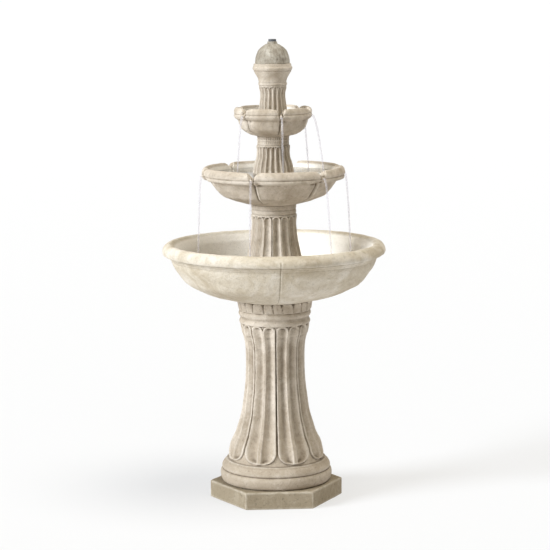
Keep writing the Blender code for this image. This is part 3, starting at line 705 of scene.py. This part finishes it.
def leaf_shape(radius, height, turn):
    """Carving of the long leaves: the ground cut back between them, and their two scoops."""
    away = np.abs(within(turn, LEAF_PITCH, LEAF_TURN))
    power = 2.7  # 2 would round the leaf's end to an ellipse; more makes it squarer
    x = away / LEAF_HALF
    y = np.maximum(LEAF_TIP + LEAF_ROUNDING - height, 0.0) / LEAF_ROUNDING
    wide = np.radians(LEAF_HALF) * radius
    g = (x**power + y**power) ** (1.0 / power) + 1e-9
    slope = np.hypot(x ** (power - 1) / wide, y ** (power - 1) / LEAF_ROUNDING) * g ** (1.0 - power)
    edge = (1.0 - g) / (slope + 1e-6)
    behind = 5.4 * MM + 4.6 * MM * smooth(0.165, 0.215, height)
    back = -behind * smooth(0.7 * MM, -1.0 * MM, edge)
    narrowing = np.clip(1.0 - y**power, 0.02, 1.0) ** (1.0 / power)
    u = np.clip(away / (LEAF_RIM * narrowing), 0.0, 1.0)
    scoop = np.sin(np.pi * u) ** 1.5
    deep = (9.2 + 3.0 * smooth(0.40, 0.20, height)) * MM
    fade = smooth(-1.0 * MM, 4.0 * MM, edge)
    return back, -deep * scoop * fade * smooth(LEAF_TIP - 8.0 * MM, LEAF_TIP + 12.0 * MM, height)


def pedestal_relief(radius, height, turn, skin):
    back, scoop = leaf_shape(radius, height, turn)
    across = around(turn, LEAF_PITCH / 2, LEAF_TURN + LEAF_PITCH / 4, radius)
    half = np.radians(LEAF_PITCH / 4) * radius
    share, notch = flute_heads(across, half, height, ARCH_SPRING, ARCH_RISE, RING_FOOT, 4.6 * MM)
    carving = back * smooth(0.5560, 0.5500, height) + scoop * share
    carving = np.minimum(carving, notch) * (height > 0.126) * (height < RING_FOOT + 1.0 * MM)

    # The collar: petals side by side that lean a little, each its own way.
    lean = 110.0 * (height - 0.620) * (0.6 + 0.4 * np.sin(np.radians(turn) * 5.0 + 1.0))
    wander = 1.5 * np.sin(np.radians(turn) * 7.0) + lean
    x = np.abs(around(turn + wander, COLLAR_PITCH, COLLAR_TURN, radius))
    half = np.radians(COLLAR_PITCH / 2) * radius
    up = np.clip((height - 0.612) / 0.024, 0.0, 1.2)
    tip = half * (1.0 - 0.50 * up**3.0)
    petal = 2.2 * MM * (1.0 - (x / half) ** 2)
    crease = -1.9 * MM * hump(half - x, 1.2 * MM) - 0.6 * MM * hump(x, 0.8 * MM)
    gap = -5.0 * MM * smooth(-0.6 * MM, 1.0 * MM, x - tip) * smooth(0.6170, 0.6210, height)
    foot = -1.2 * MM * hump(height - 0.6085, 1.6 * MM) * (0.5 + 0.5 * np.sin(np.radians(turn) * 23.0))
    collar = (petal + crease + gap + foot - 1.3 * MM) * smooth(0.6035, 0.6060, height)
    return (carving + collar) * skin, 0.0


def make_pedestal(material):
    rows = pedestal_rows()
    turns = packed_turns(LEAF_PITCH, LEAF_TURN, [0.0, LEAF_PITCH / 2], 1.9, 0.42, 1.45)
    add_casting("pedestal", "base", material, rows, turns, pedestal_relief, 7, 0.4, 4.2, 1.25)


BASIN_SEAM_TURN = 3.3
BASIN_INSIDE = [
    (296, 783), (290, 768), (276, 742), (258, 719), (236, 699), (196, 678), (150, 664), (100, 658),
    (60, 657),
]
STOPPER_PLACE = (-0.048, 0.0)
STOPPER_HOLE = 0.012


def basin_rows():
    foot, _ = ends("basin")
    base = [(0, foot), (117, foot)]
    body = [
        (118.5, foot + 0.4), (134, 639), (165, 645.5), (186, 651), (205, 656.5), (221, 662.5),
        (238, 670.5), (253, 678.5), (270, 687.5), (282, 697.5), (290, 708), (299, 721), (308, 733),
        (316, 746), (321, 757), (323.5, 765),
    ]
    fillet = [
        (323.5, 765), (326.0, 767.6), (327.6, 770.0), (328.4, 771.6), (331.6, 773.2), (334.4, 775.0),
        (335.8, 776.8),
    ]
    lip = [
        (335.8, 776.8), (335.6, 778.2), (339.6, 779.0), (345.4, 780.8), (349.0, 784.6), (350.2, 789.6),
        (350.0, 795.0), (348.0, 801.5), (343.6, 808), (337, 813), (329, 815.3), (321, 813.6),
        (313.5, 808.6), (307.5, 801), (302, 792.6), (299.0, 788.4), BASIN_INSIDE[0],
    ]
    floor = [(60, BASIN_FLOOR / MM), (0, BASIN_FLOOR / MM)]
    return outline(
        (0, base, 24.0), (1, body, 4.2), (1, fillet, 1.3), (1, lip, 2.4), (1, BASIN_INSIDE, 5.5),
        (0, floor, 15.0),
    )


def basin_relief(radius, height, turn, skin):
    """A mould seam runs down the front and the back, and the basin is slightly out of round."""
    after_rim = np.arange(len(radius))[:, None] > np.argmax(height)
    inside = (height > 0.66) & (radius < 0.300) & after_rim
    across = around(turn, 180.0, BASIN_SEAM_TURN, radius)
    seam = -1.5 * MM * hump(across, 1.5 * MM) + 0.75 * MM * hump(across - 4.2 * MM, 2.2 * MM)
    seam = seam * smooth(0.803, 0.797, height)
    sway = 0.9 * MM * np.sin(np.radians(turn) * 3.0 + 0.7) + 0.5 * MM * np.sin(np.radians(turn) * 8.0)
    return (np.where(inside, 0.0, seam) + sway * smooth(0.14, 0.3, radius)) * skin, 0.0


def make_basin(material):
    turns = packed_turns(180.0, BASIN_SEAM_TURN, [0.0], 1.2, 0.22, 0.92)

    def stain(height, turn):
        """Smears on the right of the rim, and dirt in the seam."""
        on_rim = hump(height - 0.789, 8.0 * MM) * (0.6 + 0.4 * np.sin(np.radians(turn) * 37.0))
        smears = 0.34 * on_rim * smooth(8.0, 22.0, turn) * smooth(66.0, 44.0, turn)
        in_seam = hump(within(turn, 180.0, BASIN_SEAM_TURN), 0.30) * smooth(0.803, 0.790, height)
        return smears + 0.55 * in_seam

    hole = bar_mesh(STOPPER_HOLE, (*STOPPER_PLACE, 0.60), (*STOPPER_PLACE, 0.70))
    add_casting(
        "basin", "base", material, basin_rows(), turns, basin_relief, 11, 0.55, 5.0, 1.3,
        stain=stain, cuts=[hole], slot="pale_cast_stone",
    )


def flute_heads(across, half, height, spring, rise, ring, depth):
    """Round heads of flutes below a ring: a share for the flutes, and the notches between heads."""
    up = height - spring
    share = smooth(0.10 * half, 0.32 * half, arched(across, up, 0.96 * half, rise - 0.06 * half))
    notch = smooth(0.01 * half, -0.07 * half, arched(across, up, half, rise)) * (up > 0.0)
    return share, -depth * notch * smooth(ring + 0.6 * MM, ring - 0.6 * MM, height)


def leafed_relief(pitch, first, deep, gap_width, gap_depth, spring, rise, ring, notch_depth):
    """Long leaves side by side, each with two scoops; first is the turn of one ridge."""

    def relief(radius, height, turn, skin):
        away = np.abs(around(turn, pitch, first, radius))
        half = np.radians(pitch / 2) * radius
        rim = half - gap_width - 1.5 * MM
        scoop = -deep * (radius / 0.07) ** 0.5 * np.sin(np.pi * np.clip(away / rim, 0.0, 1.0)) ** 1.1
        gap = -gap_depth * smooth(gap_width + 0.35 * MM, gap_width - 0.45 * MM, half - away)
        across = around(turn, pitch / 2, first + pitch / 4, radius)
        share, notch = flute_heads(across, half / 2, height, spring, rise, ring, notch_depth)
        carving = scoop * share + gap * smooth(ring - 5.0 * MM, ring - 9.0 * MM, height)
        return np.minimum(carving, notch) * skin * (height < ring + 1.0 * MM), 0.0

    return relief


def fluted_relief(pitch, arris, deep, spring, rise, ring, notch_depth, flat=0.5 * MM):
    """Scooped flutes side by side under round heads; arris is the turn of one edge between two."""

    def relief(radius, height, turn, skin):
        across = around(turn, pitch, arris + pitch / 2, radius)
        half = np.radians(pitch / 2) * radius
        away = np.clip(1.0 - np.abs(across) / (half - flat), 0.0, 1.0)
        share, notch = flute_heads(across, half, height, spring, rise, ring, notch_depth)
        scoop = -deep * (radius / 0.05) ** 0.5 * np.sin(np.pi / 2 * away) ** 0.95
        return np.minimum(scoop * share, notch) * skin * (height < ring + 1.0 * MM), 0.0

    return relief


def lower_column_rows():
    foot, top = ends("lower_column")
    shaft = [
        (105, foot), (104.5, 664), (102.8, 676), (98.5, 700), (93.8, 725), (89.3, 750), (85.7, 773),
        (80.6, 797), (76.2, 818), (73.2, 838), (71.0, 860), (70.0, 878),
    ]
    head = [(70.0, 878), (70.6, 887), (71.8, 895), (71.9, 901.6), (71.2, 904.6)]
    neck = [
        (71.2, 904.6), (69.0, 906.6), (68.5, 908.0), (69.4, 909.8), (70.2, 912), (70.3, 916.5),
        (69.7, 919.2), (68.5, 921.2), (69.4, 923.2), (70.2, 926.0), (70.4, 931), (70.0, top),
    ]
    inside = [(40, top), (40, 840), (55, 790), (70, 742), (70, foot)]
    return outline((1, shaft, 4.5), (1, head, 1.3), (1, neck, 1.2), (0, inside))


def make_lower_column(material):
    pitch = 45.0
    ridge = 17.5
    relief = leafed_relief(
        pitch, ridge, 7.2 * MM, 1.25 * MM, 7.5 * MM, 0.8885, 15.5 * MM, 0.9020, 4.0 * MM
    )
    rows = lower_column_rows()
    turns = packed_turns(pitch, ridge, [0.0, pitch / 2], 2.4, 0.5, 1.5)
    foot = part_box("lower_column")[0][2]
    arches = []
    for side in ((0.15, 0.0), (0.0, 0.15), (-0.15, 0.0)):
        arches.append(bar_mesh(0.010, (0.0, 0.0, foot), (*side, foot)))
    add_casting("lower_column", "lower_tier", material, rows, turns, relief, 17, 0.3, 3.4, cuts=arches)


def upper_column_rows():
    foot, top = ends("upper_column")
    shaft = [
        (77, foot), (76.6, 968), (74.6, 982), (70.0, 1005), (65.6, 1030), (61.2, 1056), (57.4, 1071),
        (54.2, 1079), (52.8, 1086), (52.0, 1094), (51.6, 1101),
    ]
    head = [(51.6, 1101), (51.6, 1108), (52.4, 1114), (52.5, 1118.6), (51.8, 1120.6)]
    neck = [
        (51.8, 1120.6), (49.8, 1122.4), (48.9, 1124.0), (49.8, 1126.2), (49.4, 1129.0), (48.9, 1132),
        (49.2, 1135.6), (50.2, 1138.2), (49.4, 1140.4), (49.3, 1143), (50.4, 1146.4), (50.4, top),
    ]
    inside = [(27, top), (27, 1060), (45, 1000), (45, foot)]
    return outline((1, shaft, 3.8), (1, head, 1.1), (1, neck, 1.0), (0, inside))


UPPER_FLUTES = 22


def upper_column_relief(radius, height, turn, skin):
    """Flutes, with a row of small teeth and a row of slots above them."""
    flutes = fluted_relief(360.0 / UPPER_FLUTES, -7.6, 5.4 * MM, 1.1090, 10.5 * MM, 1.1190, 3.0 * MM)
    outwards, _ = flutes(radius, height, turn, skin)
    across = around(turn, 8.0, 0.0, radius)
    slots = -1.9 * MM * hump(across, 1.1 * MM) * smooth(1.1402, 1.1418, height)
    teeth = -1.0 * MM * hump(across, 1.2 * MM)
    teeth = teeth * smooth(1.1262, 1.1275, height) * smooth(1.1372, 1.1358, height)
    return outwards + (slots + teeth) * skin, 0.0


def make_upper_column(material):
    rows = upper_column_rows()
    turns = even_turns(UPPER_FLUTES * 19)
    relief = upper_column_relief
    add_casting("upper_column", "upper_tier", material, rows, turns, relief, 23, 0.25, 2.6, 0.9)


def top_column_rows():
    foot, top = ends("top_column")
    shaft = [
        (52, foot), (51.6, 1178), (49.5, 1195), (46.2, 1215), (43.6, 1236), (41.2, 1256), (39.6, 1270),
        (39.5, 1284),
    ]
    head = [(39.5, 1284), (40.9, 1291), (42.4, 1297), (42.9, 1303.0), (42.4, 1305.6)]
    neck = [
        (42.4, 1305.6), (42.0, 1306.8), (43.6, 1308.0), (44.8, 1310.6), (44.7, 1313.4), (43.6, 1315.4),
        (43.0, top),
    ]
    inside = [(23, top), (23, foot)]
    return outline((1, shaft, 3.2), (1, head, 1.1), (1, neck, 0.9), (0, inside))


def make_top_column(material):
    pitch = 20.0
    arris = 2.0
    relief = fluted_relief(pitch, arris, 5.0 * MM, 1.2920, 12.0 * MM, 1.3040, 2.4 * MM)
    rows = top_column_rows()
    turns = packed_turns(pitch, arris, [0.0], 2.0, 0.8, 1.5)
    add_casting("top_column", "crown", material, rows, turns, relief, 29, 0.22, 2.4, 0.9)


MIDDLE_INSIDE = [
    (191, 1027), (187, 1015), (178, 1004), (160, 988), (130, 970), (104, 961.4),
    (92, MIDDLE_FLOOR / MM),
]
TOP_INSIDE = [(95.5, 1215), (93.4, 1205), (88, 1195), (76, 1180), (62, 1171.6), (54, TOP_FLOOR / MM)]


def bowl_outline(hole, foot_radius, foot, body, fillet, lip, inside, spacings):
    """From under a bowl's foot, up outside, over its lip, down inside and through its hole."""
    body_spacing, lip_spacing, inside_spacing, floor_spacing = spacings
    floor = [inside[-1], (hole, inside[-1][1])]
    return outline(
        (0, [(hole, foot), (foot_radius, foot)]), (1, body, body_spacing),
        (1, fillet, lip_spacing), (1, lip, lip_spacing), (1, inside, inside_spacing),
        (0, floor, floor_spacing),
    )


def middle_bowl_rows():
    foot, _ = ends("middle_bowl")
    body = [
        (69.5, foot + 0.3), (80, 938.6), (93, 942), (104, 945.4), (118, 948.8), (127.6, 952),
        (142, 957.6), (152, 961.6), (162.6, 967), (169.6, 974), (175.6, 980.6), (181.6, 987.4),
        (187, 995), (192, 1001.6), (196, 1007.6), (199, 1012.6),
    ]
    fillet = [
        (199, 1012.6), (201.4, 1015.4), (203.0, 1016.4), (206.4, 1016.0), (211.6, 1015.6),
        (217.6, 1016.8), (221.2, 1019.8), (222.6, 1023.4), (222.2, 1026.6), (221.0, 1028.6),
    ]
    lip = [
        (221.0, 1028.6), (221.8, 1030.4), (223.6, 1032.6), (224.4, 1036.4), (223.6, 1041.6),
        (220.8, 1047.6), (216.8, 1052.0), (211.6, 1054.2), (206.2, 1052.8), (201.6, 1048.6),
        (197.6, 1042.0), (194.2, 1034.6), MIDDLE_INSIDE[0],
    ]
    return bowl_outline(20, 66, foot, body, fillet, lip, MIDDLE_INSIDE, (2.6, 1.5, 4.0, 15.0))


def spouted_relief(first, crest, water_line, half, point, lip_reach, lip_height, lip_half, groove, drip):
    """Notches through a bowl's rim, each with a lip that pours and a groove on down the body.

    half is half a notch's width at the crest, point the height where its V ends on the outside, and
    groove and drip are the depth of the groove and of the stone that hangs under the lip."""

    def relief(radius, height, turn, skin):
        across = around(turn, LIP_PITCH, first, np.maximum(radius, 0.03))
        x = np.abs(across)
        outer = (np.arange(len(radius))[:, None] <= np.argmax(height)).astype(float)
        notch = water_line + (crest - water_line) * (x / half) ** 1.2
        level = np.minimum(height, notch + 20.0 * MM * smooth(half, half * 1.4, x))
        cut = level - height

        droop = hump(x - half * 1.12, half * 0.45) * smooth(crest - 30.0 * MM, crest - 8.0 * MM, height)
        outwards = 1.6 * MM * droop * outer
        upwards = cut - 1.8 * MM * droop * smooth(crest - 12.0 * MM, crest, height)

        reach = np.clip((height - point) / (crest - point), 0.0, 1.0)
        width = 1.6 * MM + (half - 1.6 * MM) * reach**0.9
        vee = -6.5 * MM * smooth(width, width * 0.45, x)
        vee = vee * smooth(point - 2.0 * MM, point + 10.0 * MM, height)
        above_lip = height + cut - lip_height
        vee = vee * (1.0 - hump(across, lip_half) * hump(above_lip, 8.0 * MM))
        lip = lip_reach * hump(across, lip_half) * hump(above_lip, 6.5 * MM)
        pendant = drip * hump(across, lip_half * 0.6) * hump(height - (lip_height - 13.0 * MM), 9.0 * MM)
        outwards = outwards + (vee + lip + pendant) * outer

        down = smooth(crest - 22.0 * MM, crest - 40.0 * MM, height) * smooth(0.0495, 0.075, radius)
        scale = np.clip(radius / (0.9 * crest - 0.75), 0.25, 1.0)
        lobe = -0.55 * groove * hump(across, 11.0 * MM * scale)
        crease = -1.25 * groove * hump(across, 3.6 * MM)
        crease = crease + 0.45 * groove * hump(across - 8.2 * MM, 3.2 * MM)
        second_lip = np.abs(within(turn, 360.0, first + LIP_PITCH)) < LIP_PITCH / 2
        hand = np.where(second_lip, -1.0, 1.0)
        under = hump(across - hand * 0.95 * half, 0.72 * half) * hump(height - (crest - 0.036), 7.0 * MM)
        outwards = outwards + ((lobe + crease) * down - 1.9 * groove * under) * outer
        return outwards * skin, upwards * skin

    return relief


def make_middle_bowl(material):
    rows = middle_bowl_rows()
    turns = packed_turns(LIP_PITCH, MIDDLE_LIP_TURN, [0.0], 5.0, 0.33, 1.3)
    relief = spouted_relief(
        MIDDLE_LIP_TURN, MIDDLE_CREST, 1.0335, 17.5 * MM, 1.004,
        8.0 * MM, 1.0300, 6.0 * MM, 6.0 * MM, 2.0 * MM,
    )
    add_casting("middle_bowl", "lower_tier", material, rows, turns, relief, 31, 0.4, 4.0)


def top_bowl_rows():
    foot, _ = ends("top_bowl")
    body = [
        (49.5, foot + 0.2), (55, 1151.6), (70.5, 1155.5), (77.5, 1159), (84, 1162), (92, 1168),
        (98, 1172.6), (101.6, 1178), (104, 1184), (106.8, 1191.6), (108.6, 1199),
    ]
    fillet = [
        (108.6, 1199), (111.0, 1202.2), (114.4, 1204.6), (117.8, 1207.0), (120.6, 1210.6),
        (121.9, 1215.0), (121.2, 1218.8), (119.9, 1220.8),
    ]
    lip = [
        (119.9, 1220.8), (120.9, 1222.6), (121.4, 1226.0), (120.4, 1231.6), (117.6, 1236.8),
        (113.4, 1239.8), (108.8, 1239.6), (104.6, 1236.2), (101.4, 1230.6), (98.6, 1223.4),
        TOP_INSIDE[0],
    ]
    return bowl_outline(16, 46, foot, body, fillet, lip, TOP_INSIDE, (1.9, 1.3, 3.2, 12.0))


def make_top_bowl(material):
    rows = top_bowl_rows()
    turns = packed_turns(LIP_PITCH, TOP_LIP_TURN, [0.0], 8.0, 0.52, 1.8)
    relief = spouted_relief(
        TOP_LIP_TURN, TOP_CREST, 1.2225, 15.0 * MM, 1.196,
        5.0 * MM, 1.2170, 4.2 * MM, 3.0 * MM, 5.0 * MM,
    )
    add_casting("top_bowl", "upper_tier", material, rows, turns, relief, 37, 0.3, 3.0, 0.9)


def make_cup(material):
    foot, top = ends("finial_cup")
    cup = [
        (43, foot), (43.6, 1322), (45.6, 1329.6), (49, 1336), (52.6, 1342), (56, 1347.6),
        (58.4, 1351.0),
    ]
    brim = [
        (58.0, 1351.0), (57.0, 1352.4), (58.2, 1353.4), (60.6, 1356.6), (61.6, 1360.6), (61.4, 1363.6),
        (59.8, 1365.6), (58.9, 1368.0), (58.4, 1371.6), (57.3, top),
    ]
    rows = outline((1, cup, 2.0), (1, brim, 1.0), (0, [(23, top), (23, foot)]))
    add_casting("finial_cup", "crown", material, rows, even_turns(300), None, 43, 0.35, 3.0, 0.9)


def make_dome(material):
    foot, top = ends("finial_dome")
    ball = [
        (53.6, foot), (54.2, 1377.6), (54.0, 1382), (53.2, 1388), (52.2, 1394), (50.2, 1400),
        (47.9, 1406.6), (45.2, 1413), (40.8, 1419), (35.8, 1423.6), (29.8, 1428.2), (23.2, 1432.6),
        (17.2, 1435.2),
    ]
    collar = [
        (17.2, 1435.2), (15.6, 1436.4), (15.1, 1438.2), (15.1, top - 1.2), (14.6, top - 0.3),
        (13.8, top),
    ]
    bore = [(12.8, top), (12.8, 1429), (23, 1415), (23, foot)]

    def relief(radius, height, turn, skin):
        """A crease low on the left and a shallow pit low on the right."""
        across = np.radians(turn + 25.0) * radius
        crease = -1.3 * MM * hump(across, 1.0 * MM) + 0.5 * MM * hump(across + 3.0 * MM, 1.6 * MM)
        crease = crease * hump(height - 1.385, 11.0 * MM)
        across = np.radians(turn - 17.0) * radius
        pit = -1.6 * MM * hump(across, 4.0 * MM) * hump(height - 1.389, 5.0 * MM)
        return (crease + pit) * skin, 0.0

    def stain(height, turn):
        """Runs of dirt down the dome, and a darker patch low on the right."""
        a = np.radians(turn)
        runs = 0.30 * smooth(-0.2, 1.0, np.sin(a * 23.0 + 0.6) * np.sin(a * 9.0))
        patch = 0.46 * hump(turn - 36.0, 26.0) * hump(height - 1.387, 11.0 * MM)
        return runs * smooth(1.375, 1.40, height) + patch

    rows = outline((1, ball, 1.7), (1, collar, 0.8), (0, bore))
    turns = even_turns(300) - 180.0
    add_casting("finial_dome", "crown", material, rows, turns, relief, 47, 0.4, 3.0, 0.9, stain=stain)


def make_nozzle(material):
    low, top = ends("outlet_nozzle")
    barbs = [(6.0 + 0.5 * (i % 2), low + 2.0 + 1.6 * i) for i in range(8)]
    tail = [(5.9, low), (6.0, low + 0.8), *barbs]
    seat = [(6.0, 1410.3), (11.0, 1410.5), (11.2, 1411.0), (11.2, 1416.6), (10.8, 1417.2), (9.6, 1419)]
    neck = [(9.4, 1420), (9.4, 1433.6), (10.2, 1435.4), (12.0, 1437.6)]
    head = [
        (12.2, 1438.4), (12.2, 1442.8), (11.8, 1443.2), (12.2, 1443.7), (12.3, 1448.2), (11.9, 1449.4),
        (11.0, top),
    ]
    bore = [
        (9.2, top), (8.4, 1449.2), (8.0, 1447.6), (8.0, 1440.4), (4.4, 1436.4), (4.0, 1435.6),
        (4.0, low),
    ]
    rows = outline((0, tail), (0, seat), (0, neck), (0, head), (0, bore))
    mesh = casting_mesh("nozzle", rows, even_turns(72), None, 53, 0.0, 2.0)
    mesh.set_sharp_from_angle(angle=math.radians(32.0))
    add_piece("nozzle_moulding", mesh, material, "upper_tier", "outlet_nozzle")


# Water ------------------------------------------------------------------------------------


STREAM_GLOSS = 0.18
STREAM_RADIUS = 3.6 * MM
STREAM_THINNING = 1.1 * MM
GRAVITY = 9.81


def water_body(name, level, floor_points, entries, material, body):
    """Water standing in a bowl, with rings where the streams from above fall in."""
    clearance = 0.8 * MM
    inner = np.array(floor_points, float) * MM
    order = np.argsort(inner[:, 1])
    edge = np.interp(level, inner[order, 1], inner[order, 0]) - clearance
    below = [(r, z + clearance) for r, z in inner[::-1] if z + clearance < level - 1.5 * MM]
    below = [(0.0, below[0][1])] + below + [(edge, level - 0.7 * MM)]
    radii = np.linspace(edge, 0.0, 90)
    rows = np.array([(r, z, 0.0) for r, z in below] + [(r, level, 1.0) for r in radii])
    turns = even_turns(240)
    places = turned_places(rows, turns)
    top = rows[:, 2] > 0.5
    lift = np.zeros(places.shape[:-1])
    for x, y in entries:
        away = np.hypot(places[..., 0] - x, places[..., 1] - y)
        lift += 0.9 * MM * np.cos(away * 2.0 * math.pi / 0.013) * np.exp(-away / 0.020)
    lift += 0.12 * MM * lumps(places, 0.03, 61)
    near = smooth(edge, edge - 12.0 * MM, rows[:, 0:1])
    places[..., 2] += lift * near * top[:, None]
    surface = top[:, None] + np.zeros(places.shape[:-1])
    add_piece(name, grid_mesh(name, places, surface=surface), material, body)


def fall(reach, level, speed, bottom, count=34):
    """Radius and height down a stream that leaves a lip at that speed."""
    heights = level - (level - bottom) * np.linspace(0.0, 1.0, count) ** 1.5
    times = np.sqrt(2.0 * (level - heights) / GRAVITY)
    return reach + speed * times, heights


def tube_mesh(name, paths, radii, sides=10):
    """Closed tubes along paths that are never upright; each path is an array of places."""
    vertices = []
    faces = []
    for path, sizes in zip(paths, radii):
        first = len(vertices)
        along = np.gradient(path, axis=0)
        along /= np.linalg.norm(along, axis=1, keepdims=True)
        side = np.cross(along, (0.0, 0.0, 1.0))
        side /= np.linalg.norm(side, axis=1, keepdims=True)
        other = np.cross(along, side)
        for place, s, o, size in zip(path, side, other, sizes):
            for k in range(sides):
                a = 2 * math.pi * k / sides
                vertices.append(place + size * (math.cos(a) * s + math.sin(a) * o))
        count = len(path)
        for row in range(count - 1):
            for k in range(sides):
                a = first + row * sides + k
                b = first + row * sides + (k + 1) % sides
                faces.append((a, b, b + sides, a + sides))
        faces.append(tuple(first + k for k in reversed(range(sides))))
        faces.append(tuple(first + (count - 1) * sides + k for k in range(sides)))
    mesh = bpy.data.meshes.new(name)
    mesh.from_pydata([tuple(v) for v in vertices], [], faces)
    bm = bmesh.new()
    bm.from_mesh(mesh)
    bmesh.ops.recalc_face_normals(bm, faces=bm.faces)
    bm.to_mesh(mesh)
    bm.free()
    layer = mesh.attributes.new("surface", "FLOAT", "POINT")
    layer.data.foreach_set("value", np.full(len(mesh.vertices), STREAM_GLOSS, np.float32))
    mesh.shade_smooth()
    return mesh


def lip_streams(name, first, reach, level, bottom, speeds, material):
    """Thin streams from a bowl's lips to the water below, as one piece; returns where they land.

    Speeds are those at which each lip's water leaves it, round the bowl; None is a dry lip."""
    paths, sizes, landings = [], [], []
    for number, speed in enumerate(speeds):
        if speed is None:
            continue
        a = math.radians(first + LIP_PITCH * number - 90.0)
        radii, heights = fall(reach, level, speed, bottom)
        along = np.linspace(0.0, 1.0, len(radii))
        sway = 1.1 * MM * np.sin(along * 7.0 + number * 2.1) * along
        x = radii * math.cos(a) - sway * math.sin(a)
        y = radii * math.sin(a) + sway * math.cos(a)
        paths.append(np.stack([x, y, heights], -1))
        beads = 1.0 + 0.16 * np.sin(along * 31.0 + number * 1.7) * along
        sizes.append((STREAM_RADIUS - STREAM_THINNING * along**0.5) * beads)
        landings.append((x[-1], y[-1]))
    mesh = tube_mesh(name, paths, sizes)
    piece = add_piece(name, mesh, material)
    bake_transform(piece)
    return landings


def make_water():
    pool = water("pool_water", (0.985, 0.99, 0.99), 0.06)
    stream = water("stream_water", (0.975, 0.965, 0.985), 0.22)
    speeds = (0.10, 0.20, 0.12, None, None, 0.12)
    top = lip_streams(
        "top_bowl_streams", TOP_LIP_TURN, 0.1255, 1.2165, MIDDLE_WATER, speeds, stream
    )
    speeds = (0.06, 0.13, 0.085, None, None, 0.06)
    low = lip_streams(
        "middle_bowl_streams", MIDDLE_LIP_TURN, 0.2290, 1.0300, BASIN_WATER, speeds, stream
    )
    water_body("basin_water", BASIN_WATER, BASIN_INSIDE, low, pool, "base")
    inside = [(196.8, 1040), *MIDDLE_INSIDE]
    water_body("middle_bowl_water", MIDDLE_WATER, inside, top, pool, "lower_tier")
    inside = [(100.4, 1228), *TOP_INSIDE]
    water_body("top_bowl_water", TOP_WATER, inside, [], pool, "upper_tier")


# Finishes of the CAD pieces that stay -----------------------------------------------------


def finish_small_parts():
    rubber = moulded("black_rubber", (0.022, 0.022, 0.023), 0.72, 300.0, 0.2)
    plastic = moulded("black_plastic", (0.035, 0.036, 0.040), 0.42)
    grey = moulded("grey_plastic", (0.13, 0.13, 0.14), 0.46)
    steel = metal("stainless_steel", (0.62, 0.62, 0.60), (0.42, 0.40, 0.37), 0.28)
    copper = metal("copper", (0.64, 0.36, 0.24), (0.24, 0.20, 0.13), 0.34)
    ceramic = moulded("white_ceramic", (0.80, 0.79, 0.75), 0.24, 500.0, 0.03, 0.05)
    ferrite = moulded("ferrite", (0.085, 0.085, 0.092), 0.55, 600.0, 0.15)
    finishes = (
        (vinyl(), "lower_hose middle_hose upper_hose"),
        (copper, "middle_bowl_pipe top_bowl_pipe"),
        (rubber, "middle_bowl_grommet top_bowl_grommet basin_stopper front_bush rear_bush cable_gland"),
        (rubber, "suction_foot_1 suction_foot_2 suction_foot_3 suction_foot_4"),
        (steel, "hose_clamp clamp_screw"),
        (plastic, "pump_housing intake_grille"),
        (grey, "pump_volute flow_dial impeller"),
        (foam(), "filter_foam"),
        (ferrite, "rotor_magnet"),
        (ceramic, "impeller_shaft"),
    )
    for material, names in finishes:
        for name in names.split():
            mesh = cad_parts[name].data
            mesh.materials.clear()
            mesh.materials.append(material)


def make_castings():
    main = stone("cast_stone")
    make_plinth(stone("weathered_cast_stone", spots=0.5))
    make_pedestal(main)
    make_basin(stone("pale_cast_stone", streaks=0.25))
    make_lower_column(main)
    make_middle_bowl(main)
    make_upper_column(main)
    make_top_bowl(main)
    make_top_column(main)
    make_cup(main)
    make_dome(stone("grey_cast_stone", streaks=0.75, spots=0.55))


bpy.context.scene.view_settings.view_transform = "Standard"
make_camera()
make_world()
for light in LIGHTS:
    make_sun(*light)
make_floor()
make_castings()
make_nozzle(moulded("nozzle_plastic", (0.075, 0.078, 0.084), 0.5))
make_water()
finish_small_parts()
